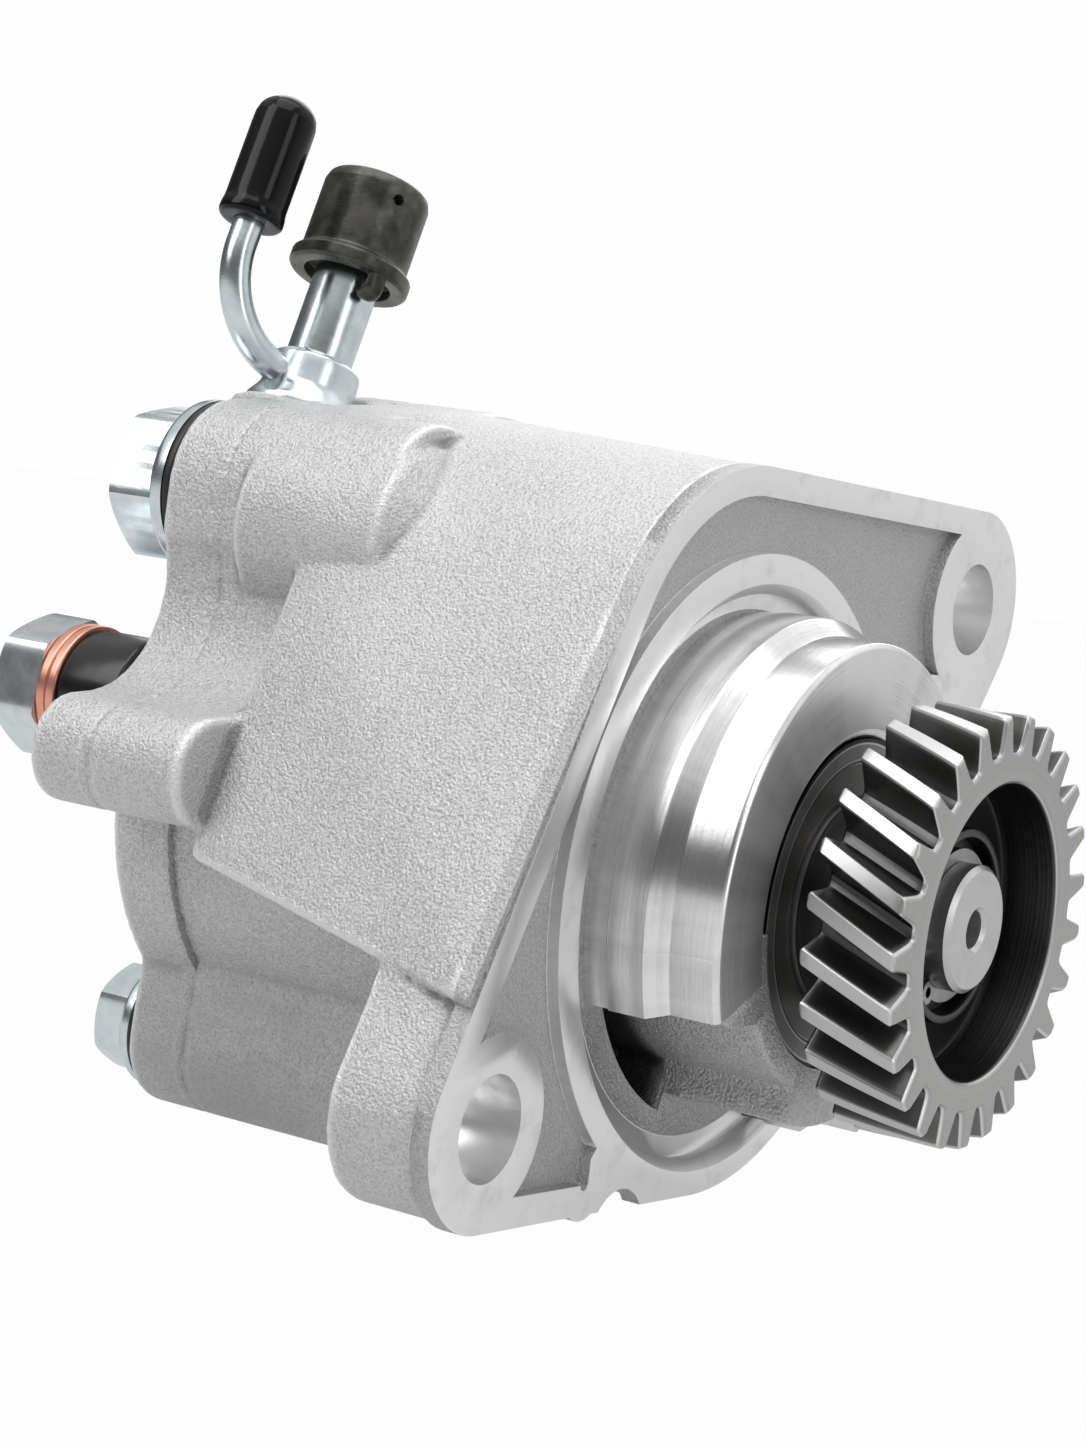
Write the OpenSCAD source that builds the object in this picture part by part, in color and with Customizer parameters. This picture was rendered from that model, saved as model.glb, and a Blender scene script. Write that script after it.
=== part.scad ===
// Gear-driven vane vacuum pump for an engine timing case.
// The shaft runs along +X towards the gear. The origin lies on the shaft's axis, in the plane of the
// mounting flange's face. +Z is up as the pump hangs on the engine.

/* [Flange] */
// Diameter of the two mounting holes
ear_hole_d = 13; // [9:0.5:15]
// Height of the flange along the shaft at its two ears
ear_depth = 15; // [12:0.5:20]
// Radius of the lower ear round its hole
ear_a_r = 12.5; // [11:0.25:15]
// Radius of the upper ear round its hole
ear_b_r = 14; // [12:0.25:17]
// Sideways place of the lower ear's hole
ear_a_y = -53; // [-57:0.5:-50]
// Height of the lower ear's hole
ear_a_z = -27; // [-30:0.5:-24]
// Sideways place of the upper ear's hole
ear_b_y = 57.4; // [54:0.2:62]
// Height of the upper ear's hole
ear_b_z = 37.2; // [34:0.2:40]
// Radius of the flange's rounded top corner
corner_r = 31.5; // [29:0.5:34]
// Radius of the flange's machined ring round the nose
ring_r = 41.4; // [40.5:0.1:43]
// Width of the machined rim left round the cast pocket
rim_w = 3.8; // [2.5:0.1:5]
// Depth of the cast pocket in the flange's face
pocket_depth = 1.8; // [1:0.1:3]
// Thickness of the lip that stands proud of the ears' sides
lip_t = 2.6; // [2:0.1:4]
// How far the lip stands proud
lip_step = 0.7; // [0.3:0.1:1.5]

/* [Nose] */
// Diameter of the pilot that centres the pump in the engine
pilot_d = 70; // [68:0.5:72]
// Length of the pilot in front of the flange's face
pilot_len = 6.4; // [5:0.2:8]
// Diameter of the nose in front of the pilot
nose_d = 66; // [64:0.5:67]
// Length of the cone between pilot and nose
cone_len = 2.4; // [1.5:0.1:3]
// Length of the whole nose in front of the flange's face
nose_len = 15.4; // [14.8:0.1:17]
// Radius of the cast bearing boss inside the nose
boss_r = 24.4; // [23.4:0.1:26]
// Angle at which the nose's window starts, from +Y towards +Z
window_start = 204; // [198:1:210]
// Angle that the window spans
window_span = 88; // [70:1:88]

/* [Gear] */
// Number of teeth
teeth = 25; // [23:1:28]
// Outer diameter over the teeth
gear_d = 54; // [52:0.5:55]
// Full height of a tooth
tooth_h = 4.6; // [4:0.1:5]
// Width of the toothed rim
face_w = 12.6; // [10:0.2:15]
// Helix angle at the outer diameter
helix = 23; // [10:1:30]
// Diameter of the recess in the gear's front face
recess_d = 37; // [34:0.5:38]
// Depth of that recess
recess_depth = 8; // [5:0.5:9]
// Diameter of the gear's hub
gear_hub_d = 24.6; // [24:0.2:27]
// Gap between the nose's front face and the teeth
gear_gap = 7.3; // [5:0.1:10]

/* [Body] */
// Length of the housing behind the flange's face
body_len = 64.5; // [63:0.5:70]
// Wall of the casting round the liner
chamber_wall = 2.7; // [2.3:0.1:3.5]
// Where the smooth side panel ends, behind the flange's face
shoulder = 50; // [48:0.5:52]
// Outer radius of the long valve boss
valve_boss_r = 12.2; // [11.5:0.1:13]
// Radius of the lobe at the middle left
lobe_r = 7; // [6.8:0.1:8]
// Radius of the lobes that take the cover's bolts
bolt_lobe_r = 10; // [9:0.1:10.5]

/* [Cover] */
// Thickness of the cover at its rim
cover_t = 9.2; // [8:0.1:12]
// How far the cover's rim stands out round the chamber
cover_rim = 1; // [0.4:0.1:1.5]
// Outer radius of the closed boss over the rear bush
bush_boss_r = 14; // [12.5:0.5:16]
// Depth of that boss behind the cover
bush_boss_len = 8; // [6:0.5:12]

/* [Rotor and liner] */
// Outer diameter of the cam liner
liner_d = 61; // [60.5:0.1:61.4]
// Wall of the cam liner
cam_wall = 4.5; // [4.3:0.1:5]
// How much smaller the rotor is than the liner's bore, across
cam_lift = 7; // [6.9:0.1:8]
// Thickness of a vane
vane_t = 3; // [2.5:0.1:4]
// Height of a vane
vane_h = 9; // [8:0.1:9.5]
// Thickness of each side plate
plate_t = 3; // [2.5:0.1:4]

/* [Shaft] */
// Diameter of the shaft under the gear
gear_seat_d = 16; // [15:0.5:17]
// Diameter of the shaft in the rear bush
rear_journal_d = 16; // [14:0.5:17]
// Diameter of the shaft in the rotor
rotor_seat_d = 18; // [17:0.5:19]
// Length of the parallel key
key_len = 10; // [8:0.5:11]

/* [Inlet] */
// Lean of the inlet from upright, towards +Y
inlet_lean = 20; // [15:0.5:25]
// Outer diameter of the large tube
tube_d = 9.2; // [8:0.1:10]
// Outer diameter of the small tube
bleed_d = 4.2; // [3.8:0.1:5]
// Bend radius of the small tube
bleed_bend = 12.5; // [11:0.5:14]
// Diameter of the fitting at its top
fitting_d = 12.6; // [11.6:0.1:14]
// Diameter of the fitting at its foot
fitting_foot_d = 16; // [15:0.1:17]
// Height of the fitting above its seat
fitting_h = 8; // [7:0.25:10]

/* [Caps] */
// Outer diameter of the large cap
cap_d = 15; // [14:0.1:16]
// Outer diameter of the large cap's lip
cap_lip_d = 17; // [16.2:0.1:18]
// Length of the large cap
cap_len = 14.5; // [12:0.25:16]
// Outer diameter of the small cap
bleed_cap_d = 8.6; // [8:0.1:9.5]
// Length of the small cap
bleed_cap_len = 18.5; // [15:0.25:22]

/* [Plugs and bolts] */
// Hexagon of the valve plug across its flats
plug_hex = 19; // [17:0.5:20]
// Diameter of the valve plug's flange
plug_flange_d = 23.4; // [22.4:0.2:23.4]
// Hexagon of a cover bolt across its flats
bolt_hex = 13; // [12:0.5:14]
// Diameter of a cover bolt's flange
bolt_flange_d = 17; // [16:0.2:18]
// Thread of a cover bolt
bolt_d = 8; // [6:0.5:9]
// Hexagon of the union bolt across its flats
union_hex = 17; // [16:0.5:18]
// Diameter of the copper washers
washer_d = 18; // [17:0.2:19]
// Diameter of the sleeve under the washers
sleeve_d = 17; // [15:0.2:17.8]
// Length of that sleeve
sleeve_len = 9.75; // [7:0.25:11]

/* [Hidden] */
$fn = 96;
e = 0.01;

// Radial gap of a seated or running fit
fit = 0.03;

// How far the straight sides of an outline stay inside the circles that they join
dip = 0.02;

// Ball bearing of the 20 x 42 x 12 mm series
bearing_d = 42;
journal_d = 20;
bearing_w = 12;
ball_r = 3.1;
track_r = 3.3;
pitch_r = 15.5;
race_step = 2.5;
balls = 9;
pocket_gap = 0.1;
cage_w = 7.6;
cage_t = 2.2;

// Planes along the shaft, from the rear to the front
joint_x = -body_len;
rear_x = joint_x - cover_t;
chamber_x = -14;
bearing_x2 = nose_len - 0.6;
bearing_x1 = bearing_x2 - bearing_w;
bearing_mid = (bearing_x1 + bearing_x2) / 2;
seal_x2 = bearing_x1 - 1;
seal_x1 = seal_x2 - 7;
gear_x1 = nose_len + gear_gap;
gear_x2 = gear_x1 + face_w;
shaft_x2 = gear_x2 - 2.4;
recess_x = gear_x2 - recess_depth;
hub_x2 = gear_x2 - 4.8;
hub_floor = hub_x2 - 2.3;
circlip_t = 1.5;
panel_x = -shoulder;
boss_x2 = panel_x + 11.5;
boss_tip = panel_x + 15;

// Places in the plane across the shaft, as [y, z]
axis_at = [0, 0];
ear_a = [ear_a_y, ear_a_z];
ear_b = [ear_b_y, ear_b_z];
corner_at = [-8, 21.5];
ring_at = [-2.4, 0.8];
chamber_at = [-3, 1.5];
crown_at = [7, 34.5];
crown_r = 21;
lobe_at = [-48, 6.1];
union_at = [-31, 11.5];
hub_r = 22;
panel_front = [-59.8, -11.5];
panel_rear = [-49.5, -3.3];
waist_at = [-46.6, 27.5];
waist_r = 14.2;

// Liner and rotor
cam_d = liner_d - 2 * cam_wall;
rotor_d = cam_d - cam_lift;
chamber_r = liner_d / 2 + chamber_wall;

// Places that move out with the liner, from the direction and the reach beyond its edge
function beyond_liner(turn, reach) = chamber_at + (liner_d / 2 + reach) * [cos(turn), sin(turn)];
bolt_lobes = [beyond_liner(246.194, 6.662), beyond_liner(44.519, 11.574),
    beyond_liner(321.68, 9.013)];
valve_at = beyond_liner(115.974, 12.882);
valve_low = valve_at + [-2.5, -3];

// Turned groove at the pilot's root
groove_depth = 2.4;
pilot_relief = 0.4;
relief_x = 1;

// Shaft seal
seal_r = 16;
seal_wall = 1.5;

// Drain from the pumping chamber to the window in the nose
drain_r = 31;
drain_x = chamber_x + 3;
drain_turn = window_start + 24;
drain_at = 23.8 * [cos(drain_turn), sin(drain_turn)];
drain_hole_r = 3;

// Rotor, vanes and liner between the two side plates
plate_x = chamber_x - plate_t;
rotor_gap = 0.05;
rotor_x1 = joint_x + plate_t + rotor_gap;
rotor_x2 = plate_x - rotor_gap;
slot_r = 10.4;
slot_gap = 0.03;
vane_turn = 45;
dowel_r = 1.25;
dowel_ring = (liner_d + cam_d) / 4;
dowel_turns = [160, 340];

// Valve behind its plug, from the front to the rear
valve_bore_r = 8;
valve_duct_r = 3;
duct_x = joint_x + 21.5;
seat_x2 = joint_x + 18.5;
seat_t = 4;
seat_hole_r = 4;
poppet_x = seat_x2 - seat_t - 0.02;
poppet_t = 2.5;
poppet_r = 6.6;
stem_r = 2.6;
stem_len = 6;
plug_reach = 8;
plug_seal_t = 1.3;
plug_flange_t = 2.5;
plug_hex_h = 8;
plug_cup_r = 6.4;
plug_cup = 6;
spring_r = 5;
spring_wire = 1.2;
spring_turns = 6;
spring_len = 16;

// Bolts of the cover and the sunk screw in the lobe
bolt_grip = 14;
bolt_seal_t = 1.2;
bolt_flange_t = 2;
bolt_hex_h = 5.6;
bolt_hole_gap = 0.4;
screw_d = 5;
screw_grip = 9;
screw_head_r = 4.3;
screw_head_h = 5;
screw_hex = 4;
screw_sink = 6.2;

// Union bolt, its copper washers and its sleeve
union_thread_r = 5;
union_reach = 8;
union_hex_h = 8;
washer_t = 1.5;
washer_gap = 0.04;

// Rear bush
rear_bush_r = rear_journal_d / 2 + 2;
bush_x1 = rear_x - bush_boss_len;
bush_wall = 3;
bush_len = 12;

// The inlet's own frame starts at the centre of the fitting's top, with z along the large tube
inlet_at = [rear_x + 1, -6.3, 58.6];
inlet_low = [-11.5, 44];
spigot_r = 3;
spigot_len = 2;
fitting_bore_r = 2;
inlet_bore_r = 1.8;
inlet_duct_r = 2.2;
inlet_turn_x = rear_x + 3.7;
inlet_duct_x = joint_x + 4.5;
plug_spot = 0.1;
port_r = 9.5;
port_foot = 26;
tube_wall = 1;
tube_in_cap = 11;
tube_rise = 12.9;
bleed_turn = -105;
bleed_drop = 3.3;
bleed_flat = 4;
bleed_out = 2;
bleed_rise = 12.2;
bleed_wall = 0.8;
bleed_in_cap = 13;
bleed_x = bleed_flat + bleed_out + bleed_bend;
cap_gap = 0.05;
cap_roof = 2.6;
cap_round = 1.2;
cap_lip_t = 2.5;
cap_mouth_r = 6.2;
cap_mouth = 1.8;
cap_vent_r = 0.7;
cap_vent_turn = -28;
hook_turn = -22;

// Draws its children in the plane across the shaft: x is +Y, y is +Z and z runs along the shaft
module across(x) {
    translate([x, 0, 0]) rotate([90, 0, 90]) children();
}

// Round bar along the shaft from x1 to x2
module bar_x(x1, x2, r, at = axis_at, r_end = -1) {
    across(x1) translate([at.x, at.y, 0])
        cylinder(h = x2 - x1, r1 = r, r2 = r_end < 0 ? r : r_end);
}

// Pipe along the shaft
module pipe_x(x1, x2, r_out, r_in, at = axis_at) {
    difference() {
        bar_x(x1, x2, r_out, at);
        bar_x(x1 - 1, x2 + 1, r_in, at);
    }
}

// Hexagonal bar along the shaft with its corners turned off at the rear end
module hex_x(x1, x2, flats, at) {
    corner = flats / sqrt(3);
    cut = corner / 7;
    intersection() {
        across(x1) translate([at.x, at.y, 0]) cylinder(h = x2 - x1, r = corner, $fn = 6);
        turned([
            [0, x1 - 1],
            [flats / 2 * 0.96 - 1, x1 - 1],
            [flats / 2 * 0.96, x1],
            [corner * 1.04, x1 + cut],
            [corner * 1.04, x2 + 1],
            [0, x2 + 1]
        ], at);
    }
}

// Turned shape round an axis along the shaft, its outline given as [radius, x]
module turned(outline, at = axis_at) {
    across(0) translate([at.x, at.y, 0]) rotate_extrude() polygon(outline);
}

// Two circles and the straight sides that run from one to the other, a hair inside both
module belt(c1, r1, c2, r2) {
    d = c2 - c1;
    way = atan2(d.y, d.x);
    tilt = acos((r1 - r2) / norm(d));
    side_1 = r1 - dip;
    side_2 = r2 - dip;
    translate(c1) circle(r1);
    translate(c2) circle(r2);
    polygon([
        c1 + side_1 * [cos(way + tilt), sin(way + tilt)],
        c2 + side_2 * [cos(way + tilt), sin(way + tilt)],
        c2 + side_2 * [cos(way - tilt), sin(way - tilt)],
        c1 + side_1 * [cos(way - tilt), sin(way - tilt)]
    ]);
}

// Part of a ring between two angles
module sector(a1, a2, r_out, r_in) {
    reach = r_out * 2;
    mid = (a1 + a2) / 2;
    intersection() {
        difference() {
            circle(r_out);
            circle(r_in);
        }
        polygon([[0, 0], reach * [cos(a1), sin(a1)], reach * [cos(mid), sin(mid)],
            reach * [cos(a2), sin(a2)]]);
    }
}

// Round duct across the shaft from one place to another
module duct(x, from, to) {
    way = to - from;
    translate([x, from.x, from.y]) rotate([-90 + atan2(way.y, way.x), 0, 0])
        cylinder(h = norm(way), r = valve_duct_r);
}

// Straight bore from one point to another
module bore_between(p1, p2, r) {
    way = p2 - p1;
    translate(p1) rotate([0, acos(way.z / norm(way)), atan2(way.y, way.x)]) cylinder(h = norm(way), r = r);
}

// Outline of the flange, with its rounded parts made smaller by inset
module flange_outline(inset) {
    foot_lobe = [-29.8, -36];
    foot_lobe_r = 4.7;
    foot_notch = [-20.6, -44.2];
    foot_notch_r = 6.5;
    belt(corner_at, corner_r - inset, ear_a, ear_a_r - inset);
    belt(corner_at, corner_r - inset, ear_b, ear_b_r - inset);
    belt(ear_b, ear_b_r - inset, ring_at, ring_r - inset);
    difference() {
        belt(ear_a, ear_a_r - inset, ring_at, ring_r - inset);
        translate(foot_notch) circle(foot_notch_r + inset);
    }
    polygon([corner_at, ear_a, ring_at, ear_b]);
    translate(foot_lobe) circle(foot_lobe_r - inset);
}

// Cast pocket between the rim, the ring round the nose and the pads at the ears
module pocket_outline() {
    pad_a_r = ear_a_r - 1.2;
    pad_b_r = ear_b_r - 1.4;
    difference() {
        flange_outline(rim_w);
        translate(ring_at) circle(ring_r);
        translate(ear_a) circle(pad_a_r);
        translate(ear_b) circle(pad_b_r);
        polygon([axis_at, ear_b + [-12, -9.5], ear_b + [25, -9.5], [90, -70], [-28, -70], [-29, -33]]);
    }
}

// Outline of the lobed joint between housing and cover
module joint_outline(grow) {
    translate(chamber_at) circle(chamber_r + grow);
    belt(chamber_at, hub_r, valve_at, valve_boss_r);
    belt(valve_at, valve_boss_r, crown_at, crown_r);
    for (at = bolt_lobes) {
        belt(chamber_at, hub_r, at, bolt_lobe_r);
    }
    belt(crown_at, crown_r, bolt_lobes[1], bolt_lobe_r);
    polygon([valve_at, crown_at, bolt_lobes[1], chamber_at]);
    translate(lobe_at) circle(lobe_r);
    difference() {
        polygon([valve_at + [dip - valve_boss_r, 0], valve_at + [dip - valve_boss_r, -7],
            lobe_at + [1, lobe_r], lobe_at, lobe_at + [2, 0.6 - lobe_r], chamber_at, valve_at]);
        translate(waist_at) circle(waist_r);
    }
}

// Smooth upper body, narrower and a little taller at its rear end
module panel_block() {
    slice = 1;
    panel_step = 0.2;
    hull() {
        across(-slice) linear_extrude(slice - lip_t / 6) {
            translate(corner_at) circle(corner_r - panel_step, $fn = 64);
            translate(panel_front) circle(1, $fn = 16);
            translate([12, 12]) circle(26, $fn = 32);
            translate([26, -11.5]) circle(1, $fn = 16);
        }
        across(panel_x) linear_extrude(slice) {
            translate(corner_at + [2.5, 1.5]) circle(corner_r + 0.5, $fn = 64);
            translate(panel_rear) circle(1, $fn = 16);
            translate([10, 12]) circle(24, $fn = 32);
            translate([24, -3.3]) circle(1, $fn = 16);
        }
    }
}

// Sectors cut out of the nose to let oil drain past the bearing boss
module window_outline() {
    rib_start = 48;
    foot_r = boss_r + 4.1;
    a1 = window_start;
    a2 = window_start + window_span;
    edge_r = pilot_d / 2 + 0.2;
    sector(a1, a1 + rib_start, edge_r, boss_r);
    sector(a1 + rib_start - e, a2, edge_r, foot_r);
}

module nose() {
    pilot_r = pilot_d / 2;
    nose_r = nose_d / 2;
    edge = 0.5;
    turned([
        [0, -groove_depth - 6],
        [pilot_r - pilot_relief, -groove_depth - 6],
        [pilot_r - pilot_relief, relief_x],
        [pilot_r, relief_x],
        [pilot_r, pilot_len],
        [nose_r, pilot_len + cone_len],
        [nose_r, nose_len - edge],
        [nose_r - edge, nose_len],
        [0, nose_len]
    ]);
}

// Annular groove between the nose and the flange's ring
module nose_groove() {
    mouth_r = ring_r - 3.4;
    floor_r = mouth_r - 1.5;
    slope_x = -1.4;
    difference() {
        union() {
            bar_x(-groove_depth, relief_x, floor_r, ring_at * 0.6);
            bar_x(slope_x, relief_x, floor_r, ring_at * 0.6, mouth_r + 1);
        }
        bar_x(-groove_depth - 1, relief_x + 1, pilot_d / 2 - pilot_relief);
    }
}

module pump_housing() {
    skin_x = nose_len - 3.2;
    mouth_edge = 1.4;
    color("silver") difference() {
        union() {
            across(-lip_t) linear_extrude(lip_t) flange_outline(0);
            across(-ear_depth) linear_extrude(ear_depth - lip_t + e) flange_outline(lip_step);
            panel_block();
            bar_x(joint_x, -1, chamber_r, chamber_at);
            across(joint_x) linear_extrude(body_len - shoulder + e) joint_outline(0);
            bar_x(joint_x, boss_x2 - 1, valve_boss_r, valve_at);
            bar_x(joint_x + 4, boss_x2, valve_boss_r, valve_low);
            bar_x(boss_x2 - e, boss_tip, valve_boss_r, valve_low, valve_boss_r - 4);
            across(joint_x) linear_extrude(-joint_x - ear_depth) belt(chamber_at, hub_r, bolt_lobes[0],
                bolt_lobe_r);
            nose();
        }
        across(-pocket_depth) linear_extrude(pocket_depth + 1) pocket_outline();
        nose_groove();
        for (at = [ear_a, ear_b]) {
            bar_x(-ear_depth - 1, 1, ear_hole_d / 2, at);
        }
        // Window, the cast space behind it and the drain
        across(-groove_depth) linear_extrude(nose_len + 10) window_outline();
        across(drain_x) linear_extrude(skin_x - drain_x) sector(window_start - 14, window_start + 47.5,
            drain_r, boss_r);
        bar_x(chamber_x - 1, drain_x + 1, drain_hole_r, drain_at);
        // Bores of the chamber, the seal and the bearing
        bar_x(joint_x - 1, chamber_x, liner_d / 2, chamber_at);
        bar_x(chamber_x - 1, bearing_x1, journal_d / 2 + 0.6);
        bar_x(seal_x1, bearing_x1 + e, seal_r);
        bar_x(bearing_x1, nose_len + 1, bearing_d / 2);
        bar_x(nose_len - 0.4, nose_len + 1, bearing_d / 2, axis_at, bearing_d / 2 + mouth_edge);
        // Valve chamber and its way into the pumping chamber
        bar_x(joint_x - 1, seat_x2, valve_bore_r, valve_at);
        bar_x(seat_x2 - 1, duct_x + valve_duct_r, valve_duct_r + 1.5, valve_at);
        duct(duct_x, valve_at, chamber_at);
        bar_x(joint_x - 1, inlet_duct_x + inlet_duct_r, inlet_duct_r, inlet_low);
        duct(inlet_duct_x, inlet_low, valve_at);
        for (at = bolt_lobes) {
            bar_x(joint_x - 1, joint_x + bolt_grip, bolt_d / 2, at);
        }
        bar_x(joint_x - 1, joint_x + screw_grip, screw_d / 2, lobe_at);
    }
}

// Places its children in the inlet's frame
module at_inlet() {
    translate(inlet_at) rotate([-inlet_lean, 0, 0]) children();
}

// Groove in the cover's inner face that holds the seal
module cover_groove(slack = 0) {
    seal_mid = liner_d / 2 + 1.2;
    seal_half = 0.6;
    depth = 0.8;
    difference() {
        bar_x(joint_x - depth, joint_x + (slack > 0 ? -slack : 1), seal_mid + seal_half, chamber_at);
        bar_x(joint_x - 2, joint_x + 2, seal_mid - seal_half, chamber_at);
    }
}

module rear_cover() {
    color("silver") difference() {
        union() {
            across(rear_x) linear_extrude(cover_t) joint_outline(cover_rim);
            bar_x(bush_x1, rear_x + e, bush_boss_r - 1.5, axis_at, bush_boss_r);
            intersection() {
                at_inlet() translate([0, 0, -fitting_h - port_foot]) cylinder(h = port_foot, r = port_r);
                translate([joint_x - 60, -60, -60]) cube([60, 120, 160]);
            }
        }
        bar_x(bush_x1 + bush_wall, joint_x + 1, rear_bush_r);
        at_inlet() translate([0, 0, -fitting_h - spigot_len]) cylinder(h = spigot_len + 1, r = spigot_r);
        at_inlet() translate([0, 0, -fitting_h]) cylinder(h = fitting_h, r = fitting_foot_d / 2 + fit);
        // Way from the inlet round the plug and into the housing
        bore_between(inlet_at - (fitting_h + spigot_len - 0.5) * [0, sin(inlet_lean), cos(inlet_lean)],
            [inlet_turn_x, inlet_low.x, inlet_low.y], inlet_bore_r);
        bar_x(inlet_turn_x - 1, joint_x + 1, inlet_duct_r, inlet_low);
        bar_x(rear_x - 1, joint_x + 1, valve_bore_r, valve_at);
        bar_x(rear_x - 20, rear_x, plug_flange_d / 2 + plug_spot, valve_at);
        bar_x(rear_x - 2, rear_x + union_reach, union_thread_r, union_at);
        for (at = bolt_lobes) {
            bar_x(rear_x - 1, joint_x + 1, bolt_d / 2 + bolt_hole_gap, at);
        }
        bar_x(rear_x - 1, joint_x + 1, screw_d / 2 + 0.3, lobe_at);
        bar_x(rear_x - 1, rear_x + screw_sink, screw_head_r + 0.3, lobe_at);
        cover_groove();
    }
}

module cover_seal() {
    color("black") cover_groove(e);
}

// Holes for the two dowels
module dowels(r, x1, x2) {
    for (turn = dowel_turns) {
        bar_x(x1, x2, r, chamber_at + dowel_ring * [cos(turn), sin(turn)]);
    }
}

module liner_dowels() {
    color("gray") dowels(dowel_r, joint_x + 0.2, chamber_x - 0.2);
}

module cam_liner() {
    color("slategray") difference() {
        pipe_x(joint_x + plate_t, plate_x, liner_d / 2 - fit, cam_d / 2, chamber_at);
        duct(duct_x, valve_at, chamber_at);
        dowels(dowel_r + fit, joint_x, chamber_x);
    }
}

// Round plate that closes one end of the liner
module side_plate(x, bore_r) {
    difference() {
        bar_x(x, x + plate_t, liner_d / 2 - fit, chamber_at);
        bar_x(x - 1, x + plate_t + 1, bore_r);
        dowels(dowel_r + fit, x - 1, x + plate_t + 1);
    }
}

module front_side_plate() {
    color("darkgray") difference() {
        side_plate(plate_x, journal_d / 2 + 0.4);
        bar_x(plate_x - 1, chamber_x + 1, drain_hole_r, drain_at);
    }
}

module rear_side_plate() {
    color("darkgray") side_plate(joint_x, rear_journal_d / 2 + 0.4);
}

// Track that the balls run in
module ball_track() {
    across(bearing_mid) rotate_extrude() translate([pitch_r, 0]) circle(track_r, $fn = 48);
}

module bearing_outer_race() {
    color("lightgray") difference() {
        pipe_x(bearing_x1, bearing_x2, bearing_d / 2 - fit, pitch_r + race_step);
        ball_track();
    }
}

module bearing_inner_race() {
    color("lightgray") difference() {
        pipe_x(bearing_x1, bearing_x2, pitch_r - race_step, journal_d / 2 + fit);
        ball_track();
    }
}

module bearing_balls() {
    color("white") for (i = [0 : balls - 1]) {
        across(bearing_mid) rotate(i * 360 / balls) translate([pitch_r, 0, 0]) sphere(ball_r, $fn = 32);
    }
}

module bearing_cage() {
    color("goldenrod") difference() {
        pipe_x(bearing_mid - cage_w / 2, bearing_mid + cage_w / 2, pitch_r + cage_t / 2,
            pitch_r - cage_t / 2);
        for (i = [0 : balls - 1]) {
            across(bearing_mid) rotate(i * 360 / balls) translate([pitch_r - cage_t, 0, 0])
                rotate([0, 90, 0]) cylinder(h = cage_t * 2, r = ball_r + pocket_gap, $fn = 32);
        }
    }
}

// Sheet ring that closes the front of the bearing
module bearing_shield() {
    x2 = bearing_x2 - 0.6;
    sheet = 0.5;
    run_gap = 0.3;
    color("silver") pipe_x(x2 - sheet, x2, pitch_r + race_step - fit, pitch_r - race_step + run_gap);
}

module shaft_oil_seal() {
    lip_r = journal_d / 2 + fit;
    outer_r = seal_r - fit;
    color("black") turned([
        [outer_r, seal_x1],
        [outer_r, seal_x2],
        [lip_r + 1.6, seal_x2],
        [lip_r, seal_x2 - 2.6],
        [lip_r, seal_x2 - 3.2],
        [lip_r + 1.2, seal_x2 - 3.2],
        [lip_r + 2.6, seal_x2 - seal_wall],
        [outer_r - seal_wall, seal_x2 - seal_wall],
        [outer_r - seal_wall, seal_x1]
    ]);
}

module rear_bush() {
    bush_x2 = joint_x - 0.2;
    color("peru") pipe_x(bush_x2 - bush_len, bush_x2, rear_bush_r - fit, rear_journal_d / 2 + fit);
}

module drive_shaft() {
    chamfer = 0.6;
    journal_x1 = joint_x - bush_len + 0.6;
    seat_r = gear_seat_d / 2;
    centre_r = 2.4;
    centre_depth = 7;
    color("gray") difference() {
        union() {
            bar_x(journal_x1, rotor_x1 + e, rear_journal_d / 2);
            bar_x(rotor_x1, rotor_x2 + e, rotor_seat_d / 2);
            bar_x(rotor_x2, bearing_x2, journal_d / 2);
            bar_x(bearing_x2 - e, shaft_x2 - chamfer, seat_r);
            bar_x(shaft_x2 - chamfer - e, shaft_x2, seat_r, axis_at, seat_r - chamfer);
        }
        pipe_x(hub_floor, hub_floor + circlip_t + 0.1, seat_r + 1, seat_r - chamfer);
        bar_x(shaft_x2 - centre_depth, shaft_x2 + 1, centre_r);
        bar_x(shaft_x2 - 0.5, shaft_x2 + e, centre_r, axis_at, centre_r + 0.5);
        key_block(fit, -3);
    }
}

// Room for the parallel key, or the key itself when there is no gap
module key_block(gap, low) {
    key_w = 5;
    key_h = 4.6;
    key_x1 = bearing_x2 + 2.5;
    translate([key_x1 - gap, -key_w / 2 - gap, gear_seat_d / 2 - 2.6 - gap])
        cube([key_len + gap * 2, key_w + gap * 2, key_h + gap * 2]);
}

module gear_key() {
    color("gray") key_block(0, 0);
}

module gear_circlip() {
    ring_r1 = gear_seat_d / 2 - 0.6 + fit;
    ring_r2 = ring_r1 + 2.2;
    gap_turn = -140;
    gap_half = 16;
    eye_at = ring_r1 + 1.8;
    eye_r = 1.5;
    eye_hole_r = 0.7;
    color("dimgray") across(hub_floor) linear_extrude(circlip_t) difference() {
        union() {
            difference() {
                circle(ring_r2);
                circle(ring_r1);
                sector(gap_turn - gap_half, gap_turn + gap_half, ring_r2 * 2, 1);
            }
            for (side = [-1, 1]) {
                rotate(gap_turn + side * (gap_half + 6)) translate([eye_at, 0]) circle(eye_r);
            }
        }
        for (side = [-1, 1]) {
            rotate(gap_turn + side * (gap_half + 6)) translate([eye_at, 0]) circle(eye_hole_r, $fn = 24);
        }
        circle(ring_r1);
    }
}

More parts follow.
